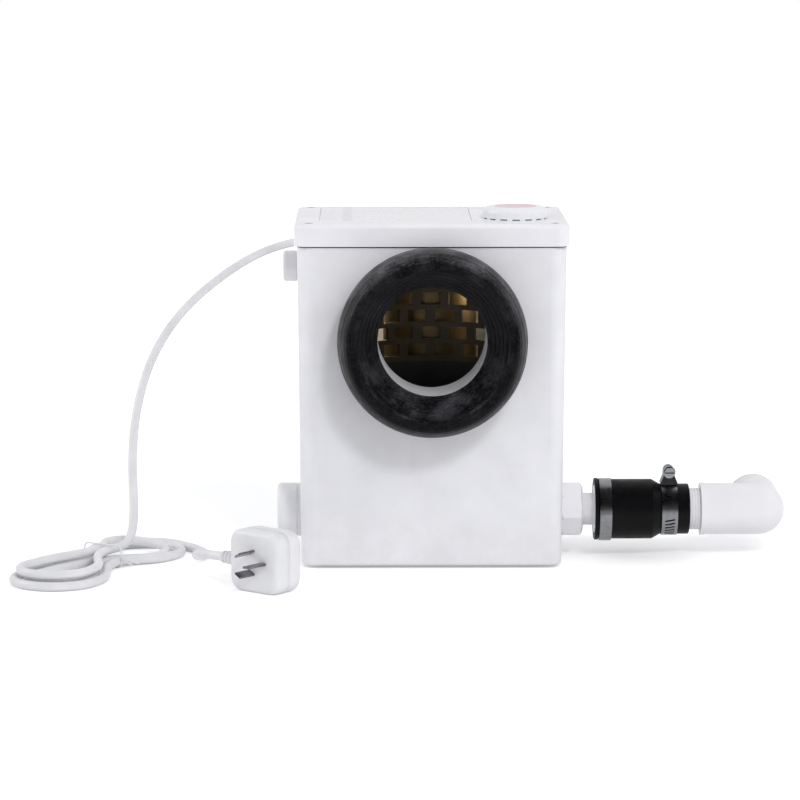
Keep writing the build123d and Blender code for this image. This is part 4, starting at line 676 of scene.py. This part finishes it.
def instanced(name, group, places, piece, turn, size, material):
    mesh = bpy.data.meshes.new(name)
    mesh.from_pydata([metres(*place) for place in places], [], [])
    carrier = bpy.data.objects.new(name + "_points", mesh)
    bpy.context.collection.objects.link(carrier)
    modifier = carrier.modifiers.new("set_out", "NODES")
    modifier.node_group = group
    chosen = {"Piece": piece, "Turn": turn, "Size": size, "Material": material}
    for item in group.interface.items_tree:
        if item.in_out == "INPUT" and item.name in chosen:
            modifier[item.identifier] = chosen[item.name]
    carrier.update_tag()
    bpy.context.view_layer.update()
    depsgraph = bpy.context.evaluated_depsgraph_get()
    baked = bpy.data.meshes.new_from_object(carrier.evaluated_get(depsgraph))
    baked.name = name
    bpy.data.objects.remove(carrier)
    made = bpy.data.objects.new(name, baked)
    bpy.context.collection.objects.link(made)
    return made


screw_head = mesh_object("screw_head_pattern", build_screw_head, turned_steel, smooth=False)
points_group = instance_group()
lid_screw_x = 97.0
lid_screw_y = 68.5
lid_top = 275.0
turn_each = 0.7
lid_places = [(x, y, lid_top) for x in (-lid_screw_x, lid_screw_x) for y in (-lid_screw_y, lid_screw_y)]
lid_heads = instanced("lid_screw_heads", points_group, lid_places, screw_head, turn_each, 1.0, turned_steel)
bpy.data.objects.remove(screw_head)
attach(lid_heads, "lid_body")
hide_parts("lid_screws")


# Floor, backdrop and lights

def stage_plane(name, corners, material):
    def build(work):
        work.faces.new([work.verts.new(corner) for corner in corners])

    made = mesh_object(name, build, material, smooth=False)
    return made


floor_half = 9.0
glow_near = 0.4
glow_far = 1.6
floor_glow = 0.3
glow_rise = 0.5
world_strength = 0.64
sky_colour = (0.98, 0.985, 1, 1)
wall_front = -0.75
wall_half = 3.0
wall_top = 3.2
wall_over = 0.5
seep_radius = 12 * MM
seep_colour = (1.0, 0.84, 0.58)


def stage_floor():
    """A pale floor that glows to the camera, more so further out, and keeps the shadow."""
    material, tree = new_material("pale_studio_floor")
    place = object_place(tree)
    cloud = evened(tree, speckle(tree, place, 300, 3.0))
    colour = mixed(tree, cloud, linear("fdfdfd"), linear("fbfbfc"))
    reach = add(tree, "ShaderNodeVectorMath", {0: place}, operation="LENGTH").outputs["Value"]
    glow = ranged(tree, reach, glow_near, glow_far, floor_glow, floor_glow + glow_rise)
    diffuse = add(tree, "ShaderNodeBsdfDiffuse", {"Color": colour})
    path = add(tree, "ShaderNodeLightPath")
    seen = math_node(tree, "MAXIMUM", path.outputs["Is Camera Ray"], path.outputs["Is Glossy Ray"])
    glow = math_node(tree, "MULTIPLY", glow, seen)
    light = add(tree, "ShaderNodeEmission", {"Color": colour, "Strength": glow})
    both = add(tree, "ShaderNodeAddShader", {0: diffuse.outputs[0], 1: light.outputs[0]})
    add(tree, "ShaderNodeOutputMaterial", {"Surface": both.outputs[0]})
    half = floor_half
    corners = ((-half, -half, 0), (half, -half, 0), (half, half, 0), (-half, half, 0))
    stage_plane("studio_floor", corners, material)


def dark_side():
    """The unlit front of the studio and its ceiling, which only shiny surfaces see."""
    material, tree = new_material("dark_studio_wall")
    cloud = evened(tree, speckle(tree, object_place(tree), 400))
    colour = mixed(tree, cloud, linear("1a1a1a"), linear("232323"))
    diffuse = add(tree, "ShaderNodeBsdfDiffuse", {"Color": colour})
    add(tree, "ShaderNodeOutputMaterial", {"Surface": diffuse.outputs[0]})
    low_left, low_right = (-wall_half, wall_front, 0.0), (wall_half, wall_front, 0.0)
    top_left, top_right = (-wall_half, wall_front, wall_top), (wall_half, wall_front, wall_top)
    over_left, over_right = (-wall_half, wall_over, wall_top), (wall_half, wall_over, wall_top)
    for name, corners in (("dark_wall_front", (low_left, low_right, top_right, top_left)),
                          ("dark_wall_above", (top_left, top_right, over_right, over_left))):
        wall = stage_plane(name, corners, material)
        wall.visible_camera = False
        wall.visible_diffuse = False
        wall.visible_shadow = False
        wall.visible_transmission = False


def world_light():
    world = bpy.data.worlds.new("studio")
    bpy.context.scene.world = world
    world.use_nodes = True
    tree = world.node_tree
    tree.nodes.clear()
    path = add(tree, "ShaderNodeLightPath")
    seen = math_node(tree, "MAXIMUM", path.outputs["Is Camera Ray"], path.outputs["Is Transmission Ray"])
    seen = math_node(tree, "MAXIMUM", seen, path.outputs["Is Glossy Ray"])
    soft = add(tree, "ShaderNodeBackground", None, {"Color": sky_colour, "Strength": world_strength})
    white = add(tree, "ShaderNodeBackground", None, {"Color": (1, 1, 1, 1), "Strength": 1.0})
    chosen = add(tree, "ShaderNodeMixShader", {0: seen, 1: soft.outputs[0], 2: white.outputs[0]})
    add(tree, "ShaderNodeOutputWorld", {"Surface": chosen.outputs[0]})


def lamp(name, place, size, power, shines=True):
    """A round soft lamp aimed at the casing. One that doesn't shine leaves no highlight."""
    data = bpy.data.lights.new(name, "AREA")
    data.shape = "DISK"
    data.size = size
    data.energy = power
    made = bpy.data.objects.new(name, data)
    bpy.context.collection.objects.link(made)
    made.location = place
    made.rotation_euler = (lamp_aim - Vector(place)).to_track_quat("-Z", "Y").to_euler()
    made.visible_glossy = shines


def seep_lamp(name, place, power):
    """Daylight that soaks through the thin white walls into the casing."""
    data = bpy.data.lights.new(name, "POINT")
    data.energy = power
    data.shadow_soft_size = seep_radius
    data.color = seep_colour
    made = bpy.data.objects.new(name, data)
    bpy.context.collection.objects.link(made)
    made.location = place


stage_floor()
dark_side()
world_light()
lamp_aim = Vector((0, 0, 0.15))
lamp("high_lamp", (0.8, -2.4, 1.9), 0.5, 23.5, False)
lamp("side_lamp", (1.6, -1.7, 1.8), 0.8, 9, False)
lamp("left_lamp", (-2.1, 0.1, 1.1), 1.0, 9.5)
seep_lamp("seep_left", metres(-45, 56, 214), 0.08)
seep_lamp("seep_front", metres(-52, -48, 225), 0.045)
seep_lamp("seep_right", metres(66, 8, 205), 0.028)

bpy.context.scene.view_settings.view_transform = "Standard"
